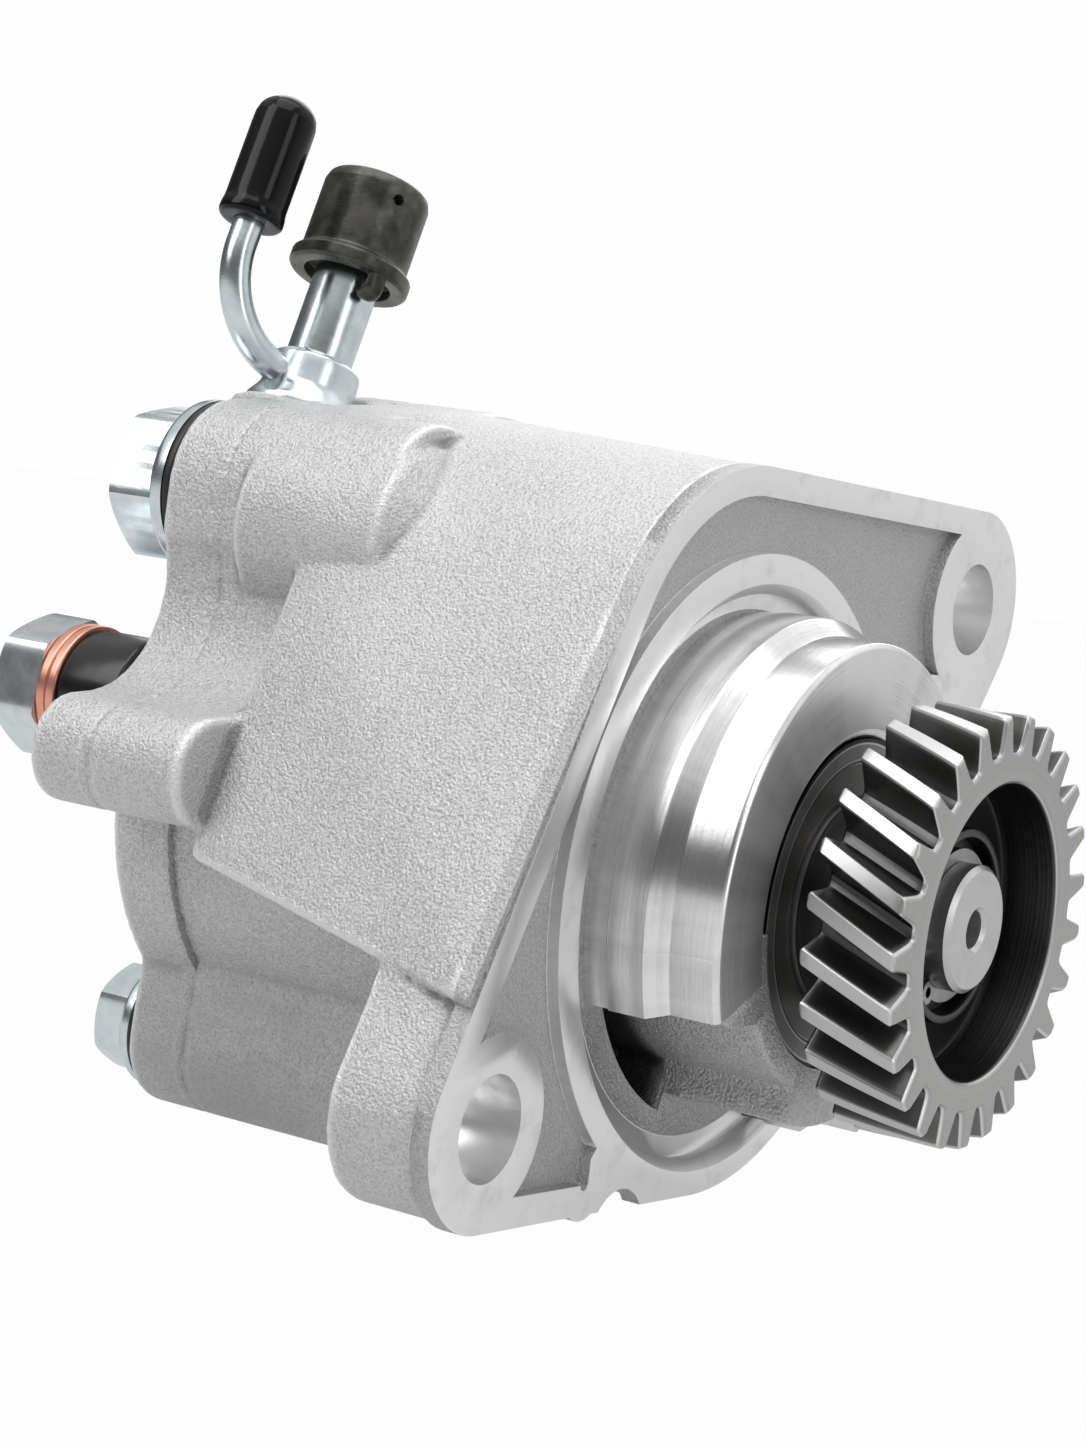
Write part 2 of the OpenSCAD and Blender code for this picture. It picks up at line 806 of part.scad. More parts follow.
// Outline of the toothed rim
module tooth_outline() {
    pitch = 360 / teeth;
    tip_r = gear_d / 2;
    root_r = tip_r - tooth_h;
    // Half angles of a tooth at its tip, at the middle of its flank and at its root, in pitches
    tip_half = 0.145 * pitch;
    mid_half = 0.245 * pitch;
    low_half = 0.315 * pitch;
    root_half = 0.38 * pitch;
    flank = [[root_r, -root_half], [root_r + 0.7, -low_half], [root_r + tooth_h / 2, -mid_half],
        [tip_r - 0.15, -tip_half - 0.2], [tip_r, -tip_half + 0.5], [tip_r, tip_half - 0.5],
        [tip_r - 0.15, tip_half + 0.2], [root_r + tooth_h / 2, mid_half], [root_r + 0.7, low_half],
        [root_r, root_half]];
    polygon([for (i = [0 : teeth - 1]) for (p = flank) p[0] * [cos(p[1] + i * pitch),
        sin(p[1] + i * pitch)]]);
}

module drive_gear() {
    first_tooth = 84.5;
    slices = 6;
    twist = tan(helix) * face_w / (gear_d / 2) * 180 / PI * 1.07;
    spacer_r = pitch_r - race_step;
    counterbore_r = gear_hub_d / 2 - 1.2;
    edge = 0.5;
    color("dimgray") difference() {
        union() {
            across(gear_x1) rotate(first_tooth - twist)
                linear_extrude(face_w, twist = -twist, slices = slices) tooth_outline();
            bar_x(bearing_x2, gear_x1 + e, spacer_r);
        }
        difference() {
            bar_x(recess_x, gear_x2 + 1, recess_d / 2);
            bar_x(recess_x - 1, hub_x2, gear_hub_d / 2);
        }
        bar_x(gear_x2 - edge, gear_x2 + e, recess_d / 2, axis_at, recess_d / 2 + edge);
        bar_x(hub_floor, gear_x2 + 1, counterbore_r);
        bar_x(bearing_x2 - 1, gear_x2 + 1, gear_seat_d / 2 + fit);
        key_block(fit, 0);
    }
}

// Room for one vane, turned by an angle
module vane_room(turn, r1, r2, t, x1, x2) {
    across(x1) rotate(turn) translate([r1, -t / 2, 0]) cube([r2 - r1, t, x2 - x1]);
}

module rotor() {
    color("gray") difference() {
        bar_x(rotor_x1, rotor_x2, rotor_d / 2);
        bar_x(rotor_x1 - 1, rotor_x2 + 1, rotor_seat_d / 2 + fit);
        for (i = [0 : 3]) {
            vane_room(vane_turn + i * 90, slot_r, rotor_d, vane_t + slot_gap * 2, rotor_x1 - 1,
                rotor_x2 + 1);
        }
    }
}

// One vane, flush with the rotor
module vane(i) {
    end_gap = 0.1;
    intersection() {
        vane_room(vane_turn + i * 90, rotor_d / 2 - vane_h, rotor_d / 2 + 1, vane_t,
            rotor_x1 + end_gap, rotor_x2 - end_gap);
        bar_x(rotor_x1, rotor_x2, rotor_d / 2 - e);
    }
}

module vane_1() {
    color("sienna") vane(0);
}

module vane_2() {
    color("sienna") vane(1);
}

module vane_3() {
    color("sienna") vane(2);
}

module vane_4() {
    color("sienna") vane(3);
}

module valve_seat() {
    color("gold") pipe_x(seat_x2 - seat_t, seat_x2, valve_bore_r - fit, seat_hole_r, valve_at);
}

module valve_poppet() {
    color("gold") {
        bar_x(poppet_x - poppet_t, poppet_x, poppet_r, valve_at);
        bar_x(poppet_x - poppet_t - stem_len, poppet_x - poppet_t + e, stem_r, valve_at);
    }
}

module valve_spring() {
    spring_x2 = poppet_x - poppet_t;
    spring_x1 = spring_x2 - spring_len;
    turn_h = spring_len / (spring_turns + 0.5);
    wire_turn = spring_wire / turn_h * 360;
    half = spring_wire / 2;
    steps = 8;
    outside = [for (i = [0 : steps]) (spring_r + half) * [cos(i * wire_turn / steps),
        sin(i * wire_turn / steps)]];
    inside = [for (i = [0 : steps]) (spring_r - half) * [cos((steps - i) * wire_turn / steps),
        sin((steps - i) * wire_turn / steps)]];
    color("gray") across(spring_x1) translate([valve_at.x, valve_at.y, 0])
        linear_extrude(spring_len, twist = -spring_turns * 360, slices = spring_turns * 16, $fn = 8)
            polygon(concat(outside, inside));
}

// Bolt along the shaft: hexagon, flange and a shank that may be hollow at its tip
module flange_bolt(at, hex_x2, hex_h, flats, flange_x, flange_r, tip_x, shank_r, cup_r = 1, cup = 0) {
    edge = 0.6;
    sunk = 0.5;
    hex_x(hex_x2 - hex_h, hex_x2 + sunk, flats, at);
    turned([
        [0, hex_x2],
        [flange_r - edge, hex_x2],
        [flange_r, hex_x2 + edge],
        [flange_r, flange_x],
        [shank_r, flange_x],
        [shank_r, tip_x],
        [cup_r, tip_x],
        [cup_r, tip_x - cup],
        [0, tip_x - cup]
    ], at);
}

module valve_plug() {
    flange_x = rear_x - plug_seal_t;
    color("lightsteelblue") flange_bolt(valve_at, flange_x - plug_flange_t, plug_hex_h, plug_hex,
        flange_x, plug_flange_d / 2, rear_x + plug_reach, valve_bore_r - fit, plug_cup_r, plug_cup);
}

module valve_plug_seal() {
    color("black") pipe_x(rear_x - plug_seal_t, rear_x, plug_flange_d / 2, valve_bore_r + fit,
        valve_at);
}

module cover_bolts() {
    flange_x = rear_x - bolt_seal_t;
    color("lightsteelblue") for (at = bolt_lobes) {
        flange_bolt(at, flange_x - bolt_flange_t, bolt_hex_h, bolt_hex, flange_x, bolt_flange_d / 2,
            joint_x + bolt_grip - 1, bolt_d / 2 - fit);
    }
}

module cover_bolt_seals() {
    color("black") for (at = bolt_lobes) {
        pipe_x(rear_x - bolt_seal_t, rear_x, bolt_flange_d / 2 + 0.4, bolt_d / 2 + bolt_hole_gap, at);
    }
}

module lobe_screw() {
    floor_x = rear_x + screw_sink;
    color("dimgray") difference() {
        union() {
            bar_x(floor_x - screw_head_h, floor_x, screw_head_r, lobe_at);
            bar_x(floor_x - 1, joint_x + screw_grip - 0.5, screw_d / 2 - fit, lobe_at);
        }
        across(floor_x - screw_head_h - 1) translate([lobe_at.x, lobe_at.y, 0])
            cylinder(h = 3.5, r = screw_hex / sqrt(3), $fn = 6);
    }
}

module union_sleeve() {
    color("black") pipe_x(rear_x - sleeve_len, rear_x, sleeve_d / 2, union_thread_r + fit, union_at);
}

module union_washers() {
    x2 = rear_x - sleeve_len;
    color("sandybrown") for (i = [0 : 1]) {
        pipe_x(x2 - washer_t * (i + 1) + washer_gap * i, x2 - washer_t * i, washer_d / 2,
            union_thread_r + fit, union_at);
    }
}

module union_bolt() {
    hex_x2 = rear_x - sleeve_len - washer_t * 2;
    color("lightsteelblue") {
        hex_x(hex_x2 - union_hex_h, hex_x2, union_hex, union_at);
        bar_x(hex_x2 - 1, rear_x + union_reach - 0.5, union_thread_r - fit, union_at);
    }
}

module inlet_fitting() {
    foot_h = 3;
    color("lightsteelblue") at_inlet() difference() {
        union() {
            translate([0, 0, -fitting_h + foot_h]) cylinder(h = fitting_h - foot_h, r = fitting_d / 2);
            translate([0, 0, -fitting_h]) cylinder(h = foot_h + e, r1 = fitting_foot_d / 2,
                r2 = fitting_d / 2);
            translate([0, 0, -fitting_h - spigot_len]) cylinder(h = spigot_len + 1, r = spigot_r - fit);
        }
        translate([0, 0, -fitting_h - spigot_len - 1]) cylinder(h = fitting_h + spigot_len + 2,
            r = fitting_bore_r);
        rotate(bleed_turn) translate([bleed_flat, -fitting_foot_d, -fitting_h + 1.2])
            cube([fitting_foot_d, fitting_foot_d * 2, fitting_h]);
        rotate(bleed_turn) translate([0, 0, -bleed_drop]) rotate([0, 90, 0])
            cylinder(h = fitting_foot_d, r = bleed_d / 2 + fit);
    }
}

module inlet_tube() {
    top = tube_rise + tube_in_cap;
    color("lightsteelblue") at_inlet() difference() {
        cylinder(h = top, r = tube_d / 2);
        translate([0, 0, -1]) cylinder(h = top + 2, r = tube_d / 2 - tube_wall);
    }
}

// Straight length of the small tube along z
module bleed_pipe(h) {
    difference() {
        cylinder(h = h, r = bleed_d / 2, $fn = 48);
        translate([0, 0, -1]) cylinder(h = h + 2, r = bleed_d / 2 - bleed_wall, $fn = 48);
    }
}

module bleed_tube() {
    start = fitting_bore_r + 0.1;
    bend_z = bleed_bend - bleed_drop;
    color("lightsteelblue") at_inlet() rotate(bleed_turn) {
        translate([start, 0, -bleed_drop]) rotate([0, 90, 0]) bleed_pipe(bleed_flat + bleed_out - start);
        translate([bleed_flat + bleed_out, 0, bend_z]) rotate([90, 0, 0]) rotate(-90)
            rotate_extrude(angle = 90) translate([bleed_bend, 0]) difference() {
                circle(bleed_d / 2, $fn = 48);
                circle(bleed_d / 2 - bleed_wall, $fn = 48);
            }
        translate([bleed_x, 0, bend_z]) bleed_pipe(bleed_rise + bleed_in_cap - bend_z);
    }
}

module inlet_cap() {
    cap_r = cap_d / 2;
    lip_r = cap_lip_d / 2;
    bore_r = tube_d / 2 + cap_gap;
    hook_len = 3.2;
    color("black") at_inlet() translate([0, 0, tube_rise]) {
        difference() {
            rotate_extrude() polygon([
                [0, 0],
                [lip_r - 0.4, 0],
                [lip_r, 0.4],
                [lip_r, cap_lip_t - 0.5],
                [lip_r - 0.5, cap_lip_t],
                [cap_r, cap_lip_t + 0.4],
                [cap_r, cap_len - cap_round],
                [cap_r - cap_round * 0.3, cap_len - cap_round * 0.3],
                [cap_r - cap_round, cap_len],
                [0, cap_len]
            ]);
            translate([0, 0, -1]) cylinder(h = cap_len - cap_roof + 1, r = bore_r);
            translate([0, 0, -1]) cylinder(h = cap_mouth + 1, r = cap_mouth_r);
            rotate(cap_vent_turn) translate([bore_r, 0, cap_len - 3.4]) rotate([0, 90, 0])
                cylinder(h = cap_r, r = cap_vent_r, $fn = 24);
        }
        rotate(hook_turn) translate([cap_mouth_r + 0.4, -1.5, -hook_len]) cube([1.6, 3, hook_len + e]);
        rotate(hook_turn) translate([cap_mouth_r - 0.5, -1.5, -hook_len]) cube([1, 3, 1]);
    }
}

module bleed_cap() {
    cap_r = bleed_cap_d / 2;
    bead_r = cap_r + 0.2;
    bead_h = 1.6;
    dome_z = bleed_cap_len - cap_r;
    color("black") at_inlet() rotate(bleed_turn) translate([bleed_x, 0, bleed_rise]) difference() {
        union() {
            cylinder(h = dome_z, r = cap_r);
            cylinder(h = bead_h, r = bead_r);
            translate([0, 0, bead_h - e]) cylinder(h = 1, r1 = bead_r, r2 = cap_r);
            translate([0, 0, dome_z]) sphere(cap_r);
        }
        translate([0, 0, -1]) cylinder(h = bleed_in_cap + 1.5, r = bleed_d / 2 + cap_gap);
    }
}

pump_housing();
rear_cover();
cover_seal();
cam_liner();
front_side_plate();
rear_side_plate();
liner_dowels();
bearing_outer_race();
shaft_oil_seal();
rear_bush();
cover_bolts();
cover_bolt_seals();
lobe_screw();
valve_plug();
valve_plug_seal();
valve_seat();
valve_spring();
valve_poppet();
union_bolt();
union_washers();
union_sleeve();
inlet_fitting();
inlet_tube();
bleed_tube();
inlet_cap();
bleed_cap();
drive_shaft();
drive_gear();
gear_key();
gear_circlip();
rotor();
vane_1();
vane_2();
vane_3();
vane_4();
bearing_inner_race();
bearing_balls();
bearing_cage();
bearing_shield();
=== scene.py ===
# %% [markdown]
# A gear-driven vacuum pump, dressed for a studio picture.
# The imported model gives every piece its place. This script gives each piece its finish, and draws
# again, with numpy, the pieces whose real shape has more to show than the plain solid: the cast skins
# with their soft fillets, the turned nose, the gear with chamfered teeth, the bolts, tubes and caps.

import bmesh
import bpy
import numpy as np
from mathutils import Matrix, Vector
from mathutils.bvhtree import BVHTree


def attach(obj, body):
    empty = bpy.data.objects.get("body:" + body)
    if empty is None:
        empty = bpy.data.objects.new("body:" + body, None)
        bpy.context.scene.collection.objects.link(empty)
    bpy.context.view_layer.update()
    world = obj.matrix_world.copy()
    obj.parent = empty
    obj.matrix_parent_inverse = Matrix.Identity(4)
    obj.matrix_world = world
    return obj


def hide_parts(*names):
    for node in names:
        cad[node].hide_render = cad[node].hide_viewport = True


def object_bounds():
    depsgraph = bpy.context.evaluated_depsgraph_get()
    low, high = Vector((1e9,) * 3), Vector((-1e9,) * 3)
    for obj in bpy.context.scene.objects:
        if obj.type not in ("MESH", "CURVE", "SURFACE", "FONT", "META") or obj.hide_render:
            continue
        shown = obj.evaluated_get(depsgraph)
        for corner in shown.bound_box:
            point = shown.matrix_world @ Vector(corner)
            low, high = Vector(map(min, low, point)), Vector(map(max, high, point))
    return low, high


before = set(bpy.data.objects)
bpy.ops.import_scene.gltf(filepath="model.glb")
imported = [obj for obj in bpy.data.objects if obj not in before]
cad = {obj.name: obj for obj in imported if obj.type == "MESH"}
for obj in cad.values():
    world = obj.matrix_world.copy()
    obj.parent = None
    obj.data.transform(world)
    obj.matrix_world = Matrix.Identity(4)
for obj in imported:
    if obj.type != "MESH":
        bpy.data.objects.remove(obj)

MM = 0.001
cad_box = [list(corner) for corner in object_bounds()]
print("CAD box in mm:", [[round(c / MM, 1) for c in corner] for corner in cad_box])

# %% [markdown]
# The camera stands where the photographer's stood. Its place was worked out from the flange's two
# holes, the round nose and the gear, whose sizes are known. The three rows of numbers are the
# directions of the picture's right side, its top and the way back from the object.

# %% Camera
CAMERA_RIGHT = (0.83784, 0.52948, 0.13294)
CAMERA_UP = (-0.15309, -0.00587, 0.98819)
CAMERA_BACK = (0.52401, -0.84830, 0.07615)
CAMERA_AT = (198.9, -375.4, 49.1)
lens = bpy.data.cameras.new("camera")
lens.sensor_fit = "VERTICAL"
lens.sensor_height = 36
lens.lens = 82.92
lens.clip_start = 0.01
camera = bpy.data.objects.new("camera", lens)
turn = Matrix((CAMERA_RIGHT, CAMERA_UP, CAMERA_BACK)).transposed().to_4x4()
camera.matrix_world = Matrix.Translation(Vector(CAMERA_AT) * MM) @ turn
bpy.context.scene.collection.objects.link(camera)
bpy.context.scene.camera = camera
bpy.context.scene.view_settings.view_transform = "Standard"
print("camera at", CAMERA_AT, "mm, lens", lens.lens, "mm")

# %% [markdown]
# Shader maths is easier to read as sums. Value wraps one number socket and overloads the operators,
# so that `1 - mask` adds a Math node.

# %% Sockets as numbers
def connect(tree, target, value):
    """Links a socket to the target socket, or sets the target to a plain number or colour."""
    if isinstance(value, Value):
        tree.links.new(value.socket, target)
    elif isinstance(value, bpy.types.NodeSocket):
        tree.links.new(value, target)
    elif isinstance(value, (tuple, list)) and len(value) == 3 and target.type == "RGBA":
        target.default_value = (*value, 1)
    else:
        target.default_value = value


class Value:
    """A number socket that can stand in ordinary sums."""

    def __init__(self, tree, socket):
        self.tree, self.socket = tree, socket

    def math(self, operation, *terms):
        """What a Math node makes of these terms."""
        node = self.tree.nodes.new("ShaderNodeMath")
        node.operation = operation
        for target, term in zip(node.inputs, terms):
            connect(self.tree, target, term)
        return Value(self.tree, node.outputs[0])

    def __add__(self, other):
        return self.math("ADD", self, other)

    def __sub__(self, other):
        return self.math("SUBTRACT", self, other)

    def __rsub__(self, other):
        return self.math("SUBTRACT", other, self)

    def __mul__(self, other):
        return self.math("MULTIPLY", self, other)

    def __truediv__(self, other):
        return self.math("DIVIDE", self, other)

    def __pow__(self, other):
        return self.math("POWER", self, other)

    __radd__ = __add__
    __rmul__ = __mul__

    def either(self, other):
        """The larger of two values, so that either of two masks counts."""
        return self.math("MAXIMUM", self, other)

    def ramp(self, low, high):
        """0 below low, 1 above high and a smooth rise between. With low above high it falls."""
        node = self.tree.nodes.new("ShaderNodeMapRange")
        node.interpolation_type = "SMOOTHSTEP"
        rising = low < high
        ends = (low, high, 0, 1) if rising else (high, low, 1, 0)
        for target, term in zip(node.inputs, (self, *ends)):
            connect(self.tree, target, term)
        return Value(self.tree, node.outputs[0])


# %% [markdown]
# Finish wraps one material. Its x, y and z are the object's own coordinates in millimetres, `noise`
# and `radius` make patterns of them, `mix` blends colours, and `look` sets what the shader shows.

# %% One material
class Finish:
    """One material: a shader, object coordinates in millimetres and helpers for its pattern."""

    def __init__(self, name):
        self.material = bpy.data.materials.new(name)
        self.material.use_nodes = True
        self.tree = self.material.node_tree
        self.shader = self.tree.nodes["Principled BSDF"]
        place = self.tree.nodes.new("ShaderNodeTexCoord").outputs["Object"]
        grow = self.node("ShaderNodeVectorMath", {"operation": "SCALE"}, {0: place, "Scale": 1 / MM})
        self.place = grow.outputs[0]
        parts = self.node("ShaderNodeSeparateXYZ", {}, {0: self.place})
        self.x, self.y, self.z = (Value(self.tree, out) for out in parts.outputs)

    def node(self, kind, settings, values):
        """Adds a node, with its settings first and then the values or links of its sockets."""
        node = self.tree.nodes.new(kind)
        for name, setting in settings.items():
            setattr(node, name, setting)
        for name, value in values.items():
            connect(self.tree, node.inputs[name], value)
        return node

    def noise(self, per_mm, detail=2.0, rough=0.5, place=None):
        """Soft noise round 0.5, with so many lumps to a millimetre."""
        values = {"Vector": place or self.place, "Scale": per_mm, "Detail": detail, "Roughness": rough}
        return Value(self.tree, self.node("ShaderNodeTexNoise", {}, values).outputs[0])

    def point(self, x, y, z):
        """A place made of three values, to stretch a pattern or to turn it round an axis."""
        return self.node("ShaderNodeCombineXYZ", {}, {0: x, 1: y, 2: z}).outputs[0]

    def radius(self, y=0.0, z=0.0):
        """Distance from an axis along the shaft that goes through y, z: the root of the sum of the
        squared distances in y and in z."""
        across = (self.y - y) * (self.y - y) + (self.z - z) * (self.z - z)
        return across ** 0.5

    def mix(self, share, first, second):
        """The first colour where share is 0 and the second where it is 1."""
        node = self.tree.nodes.new("ShaderNodeMix")
        node.data_type = "RGBA"
        for place, value in ((0, share), (6, first), (7, second)):
            connect(self.tree, node.inputs[place], value)
        return node.outputs[2]

    def bump(self, height, depth_mm):
        """A dent pattern: height from 0 to 1 moves the surface by depth_mm."""
        values = {"Height": height, "Distance": depth_mm * MM, "Strength": 1.0}
        return self.node("ShaderNodeBump", {}, values).outputs[0]

    def look(self, **sockets):
        """Sets the shader's sockets by name, with _ for a space."""
        for name, value in sockets.items():
            connect(self.tree, self.shader.inputs[name.replace("_", " ")], value)
        return self.material


# %% [markdown]
# Some planes and places belong to several pieces or to a piece and its finish. All are in
# millimetres: x runs along the shaft, and the flange's front face is at 0.

# %% Shared places
LIP_X, POCKET_X = -2.6, -1.8
JOINT_X, REAR_X, NOSE_FRONT = -64.5, -73.7, 15.4
EARS, EAR_HOLE_R, EAR_BACK = ((-53.0, -27.0), (57.4, 37.2)), 6.5, -14.6
RING_AT = (-2.4, 0.8)
BOLTS = ((-18.0, -32.5), (27.0, 31.0), (28.0, -23.0))
PLUG_AT, UNION_AT = (-22.0, 40.5), (-31.0, 11.5)


def scaled(colour, factor):
    """A colour with all three parts multiplied by the factor."""
    return tuple(part * factor for part in colour)


def grey(tone):
    """A colour with three equal parts."""
    return (tone, tone, tone)


# %% [markdown]
# Cast aluminium is blasted after casting, so it is pale, matt and covered in a grain of about a
# third of a millimetre. Where a cutter has faced the flange, the metal is bright and smooth, with
# faint smudges. Both belong to one casting, so one material shows both: the faced parts are the ones
# that lie in the flange's plane, or in the ring round the nose.

# %% Cast and faced aluminium
CAST_GREY = (0.69, 0.692, 0.694)
FACED_GREY = grey(0.86)


def cast_finish(name, faced_x=None, ring=None):
    """Blasted casting. The tone is the grain plus slow clouds, with painted shade on the lower side,
    in hollows, in the flange's pocket and in the drain cavity, and painted highlights on outer
    corners.
    In front of faced_x, and where the mask ring says so, the metal is machined."""
    f = Finish(name)
    grain = f.noise(2.7, 2, 0.55)
    lumps = f.noise(0.55, 2, 0.5)
    clouds = f.noise(0.045, 3, 0.55)
    speck = f.noise(3.4, 1, 0.5).ramp(0.62, 0.72)
    tone = 0.80 + (clouds - 0.5) * 0.45 + (grain - 0.5) * 2.4
    dark = scaled(CAST_GREY, 0.50)
    colour = f.mix(tone, dark, CAST_GREY)
    colour = f.mix(speck * 0.8, colour, grey(0.90))
    # Painted shade: the lower side of the casting is darkened, in patches that follow the clouds.
    below = f.z.ramp(-12.0, -30.0) * f.x.ramp(-15.0, -20.0)
    below = below * (0.10 + clouds.ramp(0.35, 0.65) * 0.35)
    colour = f.mix(below, colour, scaled(CAST_GREY, 0.45))
    rough = 0.48 + (grain - 0.5) * 0.25
    height = grain * 0.8 + lumps * 0.3
    metal = 0.55
    bend = Value(f.tree, f.node("ShaderNodeAttribute", {"attribute_name": "bend"}, {}).outputs["Fac"])
    from_joint = f.x - JOINT_X
    bend = bend * (from_joint * from_joint).ramp(0.2, 1.5)
    # Painted shade in hollows, then painted highlights on outer corners, both left off at the joint.
    colour = f.mix(bend.ramp(-0.03, -0.40) * 0.80, colour, scaled(CAST_GREY, 0.26))
    colour = f.mix(bend.ramp(0.06, 0.45) * 0.75, colour, grey(0.92))
    if faced_x is not None:
        machined = f.x.ramp(faced_x - 0.05, faced_x).either(ring(f))
        smudge = f.noise(0.16, 3, 0.7).ramp(0.50, 0.78)
        bright = f.mix(smudge * 0.5, FACED_GREY, (0.58, 0.58, 0.59))
        # Painted shade: the drain cavity behind the window is painted nearly black.
        cavity_shade = f.x.ramp(-2.2, -5.5) * f.radius().ramp(33.0, 32.0) * f.z.ramp(-4.0, -6.0)
        cavity_shade = cavity_shade * f.x.ramp(-16.0, -13.5)
        colour = f.mix(cavity_shade * 0.9, colour, grey(0.02))
        # Painted shade: the flange's cast pocket is darkened.
        pocket = f.x.ramp(LIP_X - 0.15, LIP_X - 0.05) * (1 - machined)
        colour = f.mix(pocket * 0.35, colour, dark)
        colour = f.mix(machined, colour, bright)
        rough = rough * (1 - machined) + (0.30 + smudge * 0.12) * machined
        height = height * (1 - machined * 0.96)
        metal = 0.55 + machined * 0.25
    return f.look(Base_Color=colour, Roughness=rough, Metallic=metal, Normal=f.bump(height, 0.38))


def faced_ring(f):
    """Where a cutter has been behind the flange's face: the groove and ring round the nose, and the
    ears' holes. It is the largest of the masks of the ring and of each hole."""
    away = f.radius(*RING_AT)
    ring = away.ramp(41.5, 41.35) * away.ramp(33.9, 34.1) * f.x.ramp(LIP_X - 0.15, LIP_X - 0.05)
    for y, z in EARS:
        ring = ring.either(f.radius(y, z).ramp(EAR_HOLE_R + 0.15, EAR_HOLE_R + 0.05))
    return ring


cast_body = cast_finish("cast_housing", -0.02, faced_ring)
cast_cover = cast_finish("cast_cover")
print("cast finishes:", cast_body.name, cast_cover.name)

# %% [markdown]
# Turned metal has fine grooves that run round the shaft's axis. They spread a lamp's reflection
# across them into the bright and dark bands that tell a turned face from a ground one. The grooves
# depend on how far along the profile a point lies, so x plus the radius serves for both the rims and
# the flat faces.

# %% Turned, zinc-plated, copper and dark finishes
def turned_finish(name, colour, rough, groove=0.012, axis=(0.0, 0.0), metal=1.0, stain=0.25,
                  fan=0.4, face_x=None):
    """Metal turned on a lathe round an axis along the shaft. Its tone is the sum of smears, of painted
    bright and dark reflection bands that follow the fine and wide grooves and, times fan, of a painted
    reflection fan that depends only on the direction from the axis. A face in front of face_x scatters
    more light and has stronger painted reflection fans."""
    f = Finish(name)
    away = f.radius(*axis)
    along = f.x + away * 1.31
    direction = f.point((f.y - axis[0]) / away, (f.z - axis[1]) / away, 0.0)
    wide = f.noise(1.0, 4, 0.75, f.point(along * 2.1, 0.0, 0.0))
    fine = f.noise(1.0, 3, 0.8, f.point(along * 9.0, f.y * 0.02, f.z * 0.02))
    smear = f.noise(0.14, 3, 0.65).ramp(0.45, 0.80)
    fan_sheen = f.noise(6.0, 3, 0.7, direction)
    # Painted reflections: the groove noises paint bright and dark bands into the colour, and the
    # pattern of directions paints reflection fans.
    tone = smear * stain + (fine - 0.5) * 0.8 + (wide - 0.5) * 0.9 + (fan_sheen - 0.5) * fan + 0.12
    rough = rough + (wide - 0.5) * 0.14 + smear * 0.06
    if face_x is not None:
        face = f.x.ramp(face_x - 0.1, face_x)
        # Painted reflection fans on the front face.
        face_fan_sheen = f.noise(2.2, 2, 0.6, direction)
        tone = tone + face * ((face_fan_sheen - 0.5) * 4.0 + (fine - 0.5) * 1.4)
        metal = metal - face * 0.35
        rough = rough + face * 0.14
    return f.look(Base_Color=f.mix(tone, colour, scaled(colour, 0.55)), Metallic=metal,
                  Roughness=rough, Normal=f.bump(wide * 0.4 + fine * 0.6, groove))


def zinc_finish(name):
    """Bluish zinc plating over drawn or forged steel: soft clouds of grey, blue and faint straw."""
    f = Finish(name)
    clouds = f.noise(0.35, 3, 0.6)
    tint = f.mix(clouds.ramp(0.30, 0.70), (0.60, 0.655, 0.685), (0.71, 0.75, 0.77))
    tint = f.mix(f.noise(0.9, 2, 0.5).ramp(0.55, 0.75) * 0.15, tint, (0.72, 0.72, 0.66))
    pits = f.noise(2.6, 2, 0.6)
    return f.look(Base_Color=tint, Metallic=1.0, Roughness=0.20 + clouds * 0.10,
                  Normal=f.bump(pits, 0.012))


def rubber_finish(name, colour, rough, grain=1.2, depth=0.02, shine=0.5):
    """Black moulded rubber or plastic with a fine skin. shine is how much it mirrors."""
    f = Finish(name)
    skin = f.noise(grain, 3, 0.6)
    dust = f.noise(0.3, 3, 0.6).ramp(0.5, 0.8)
    pale = tuple(part * 2.4 + 0.002 for part in colour)
    return f.look(Base_Color=f.mix(dust * 0.5, colour, pale), Specular_IOR_Level=shine,
                  Roughness=rough + (skin - 0.5) * 0.12, Normal=f.bump(skin, depth))


def plain_metal(name, colour, rough, metal=1.0):
    """Ground or drawn metal of the hidden pieces: a faint scratch pattern on one colour."""
    f = Finish(name)
    lines = f.noise(1.0, 3, 0.7, f.point(f.x * 6.0, f.y * 0.6, f.z * 0.6))
    shown = f.mix(lines.ramp(0.35, 0.8) * 0.6, colour, scaled(colour, 0.7))
    return f.look(Base_Color=shown, Metallic=metal, Roughness=rough + (lines - 0.5) * 0.15,
                  Normal=f.bump(lines, 0.008))


bright_turned = turned_finish("turned_aluminium", (0.82, 0.82, 0.825), 0.20, 0.026, fan=1.0,
                              face_x=NOSE_FRONT - 0.05)
zinc = zinc_finish("zinc_plating")
copper = turned_finish("bright_copper", (0.84, 0.40, 0.30), 0.32, 0.010, UNION_AT, stain=0.4)
seal_rubber = rubber_finish("seal_rubber", grey(0.012), 0.42)
sleeve_plastic = rubber_finish("sleeve_plastic", (0.006, 0.006, 0.007), 0.24, 0.8, 0.008)
cap_rubber = rubber_finish("dipped_rubber", grey(0.002), 0.14, 0.5, 0.010, shine=0.22)


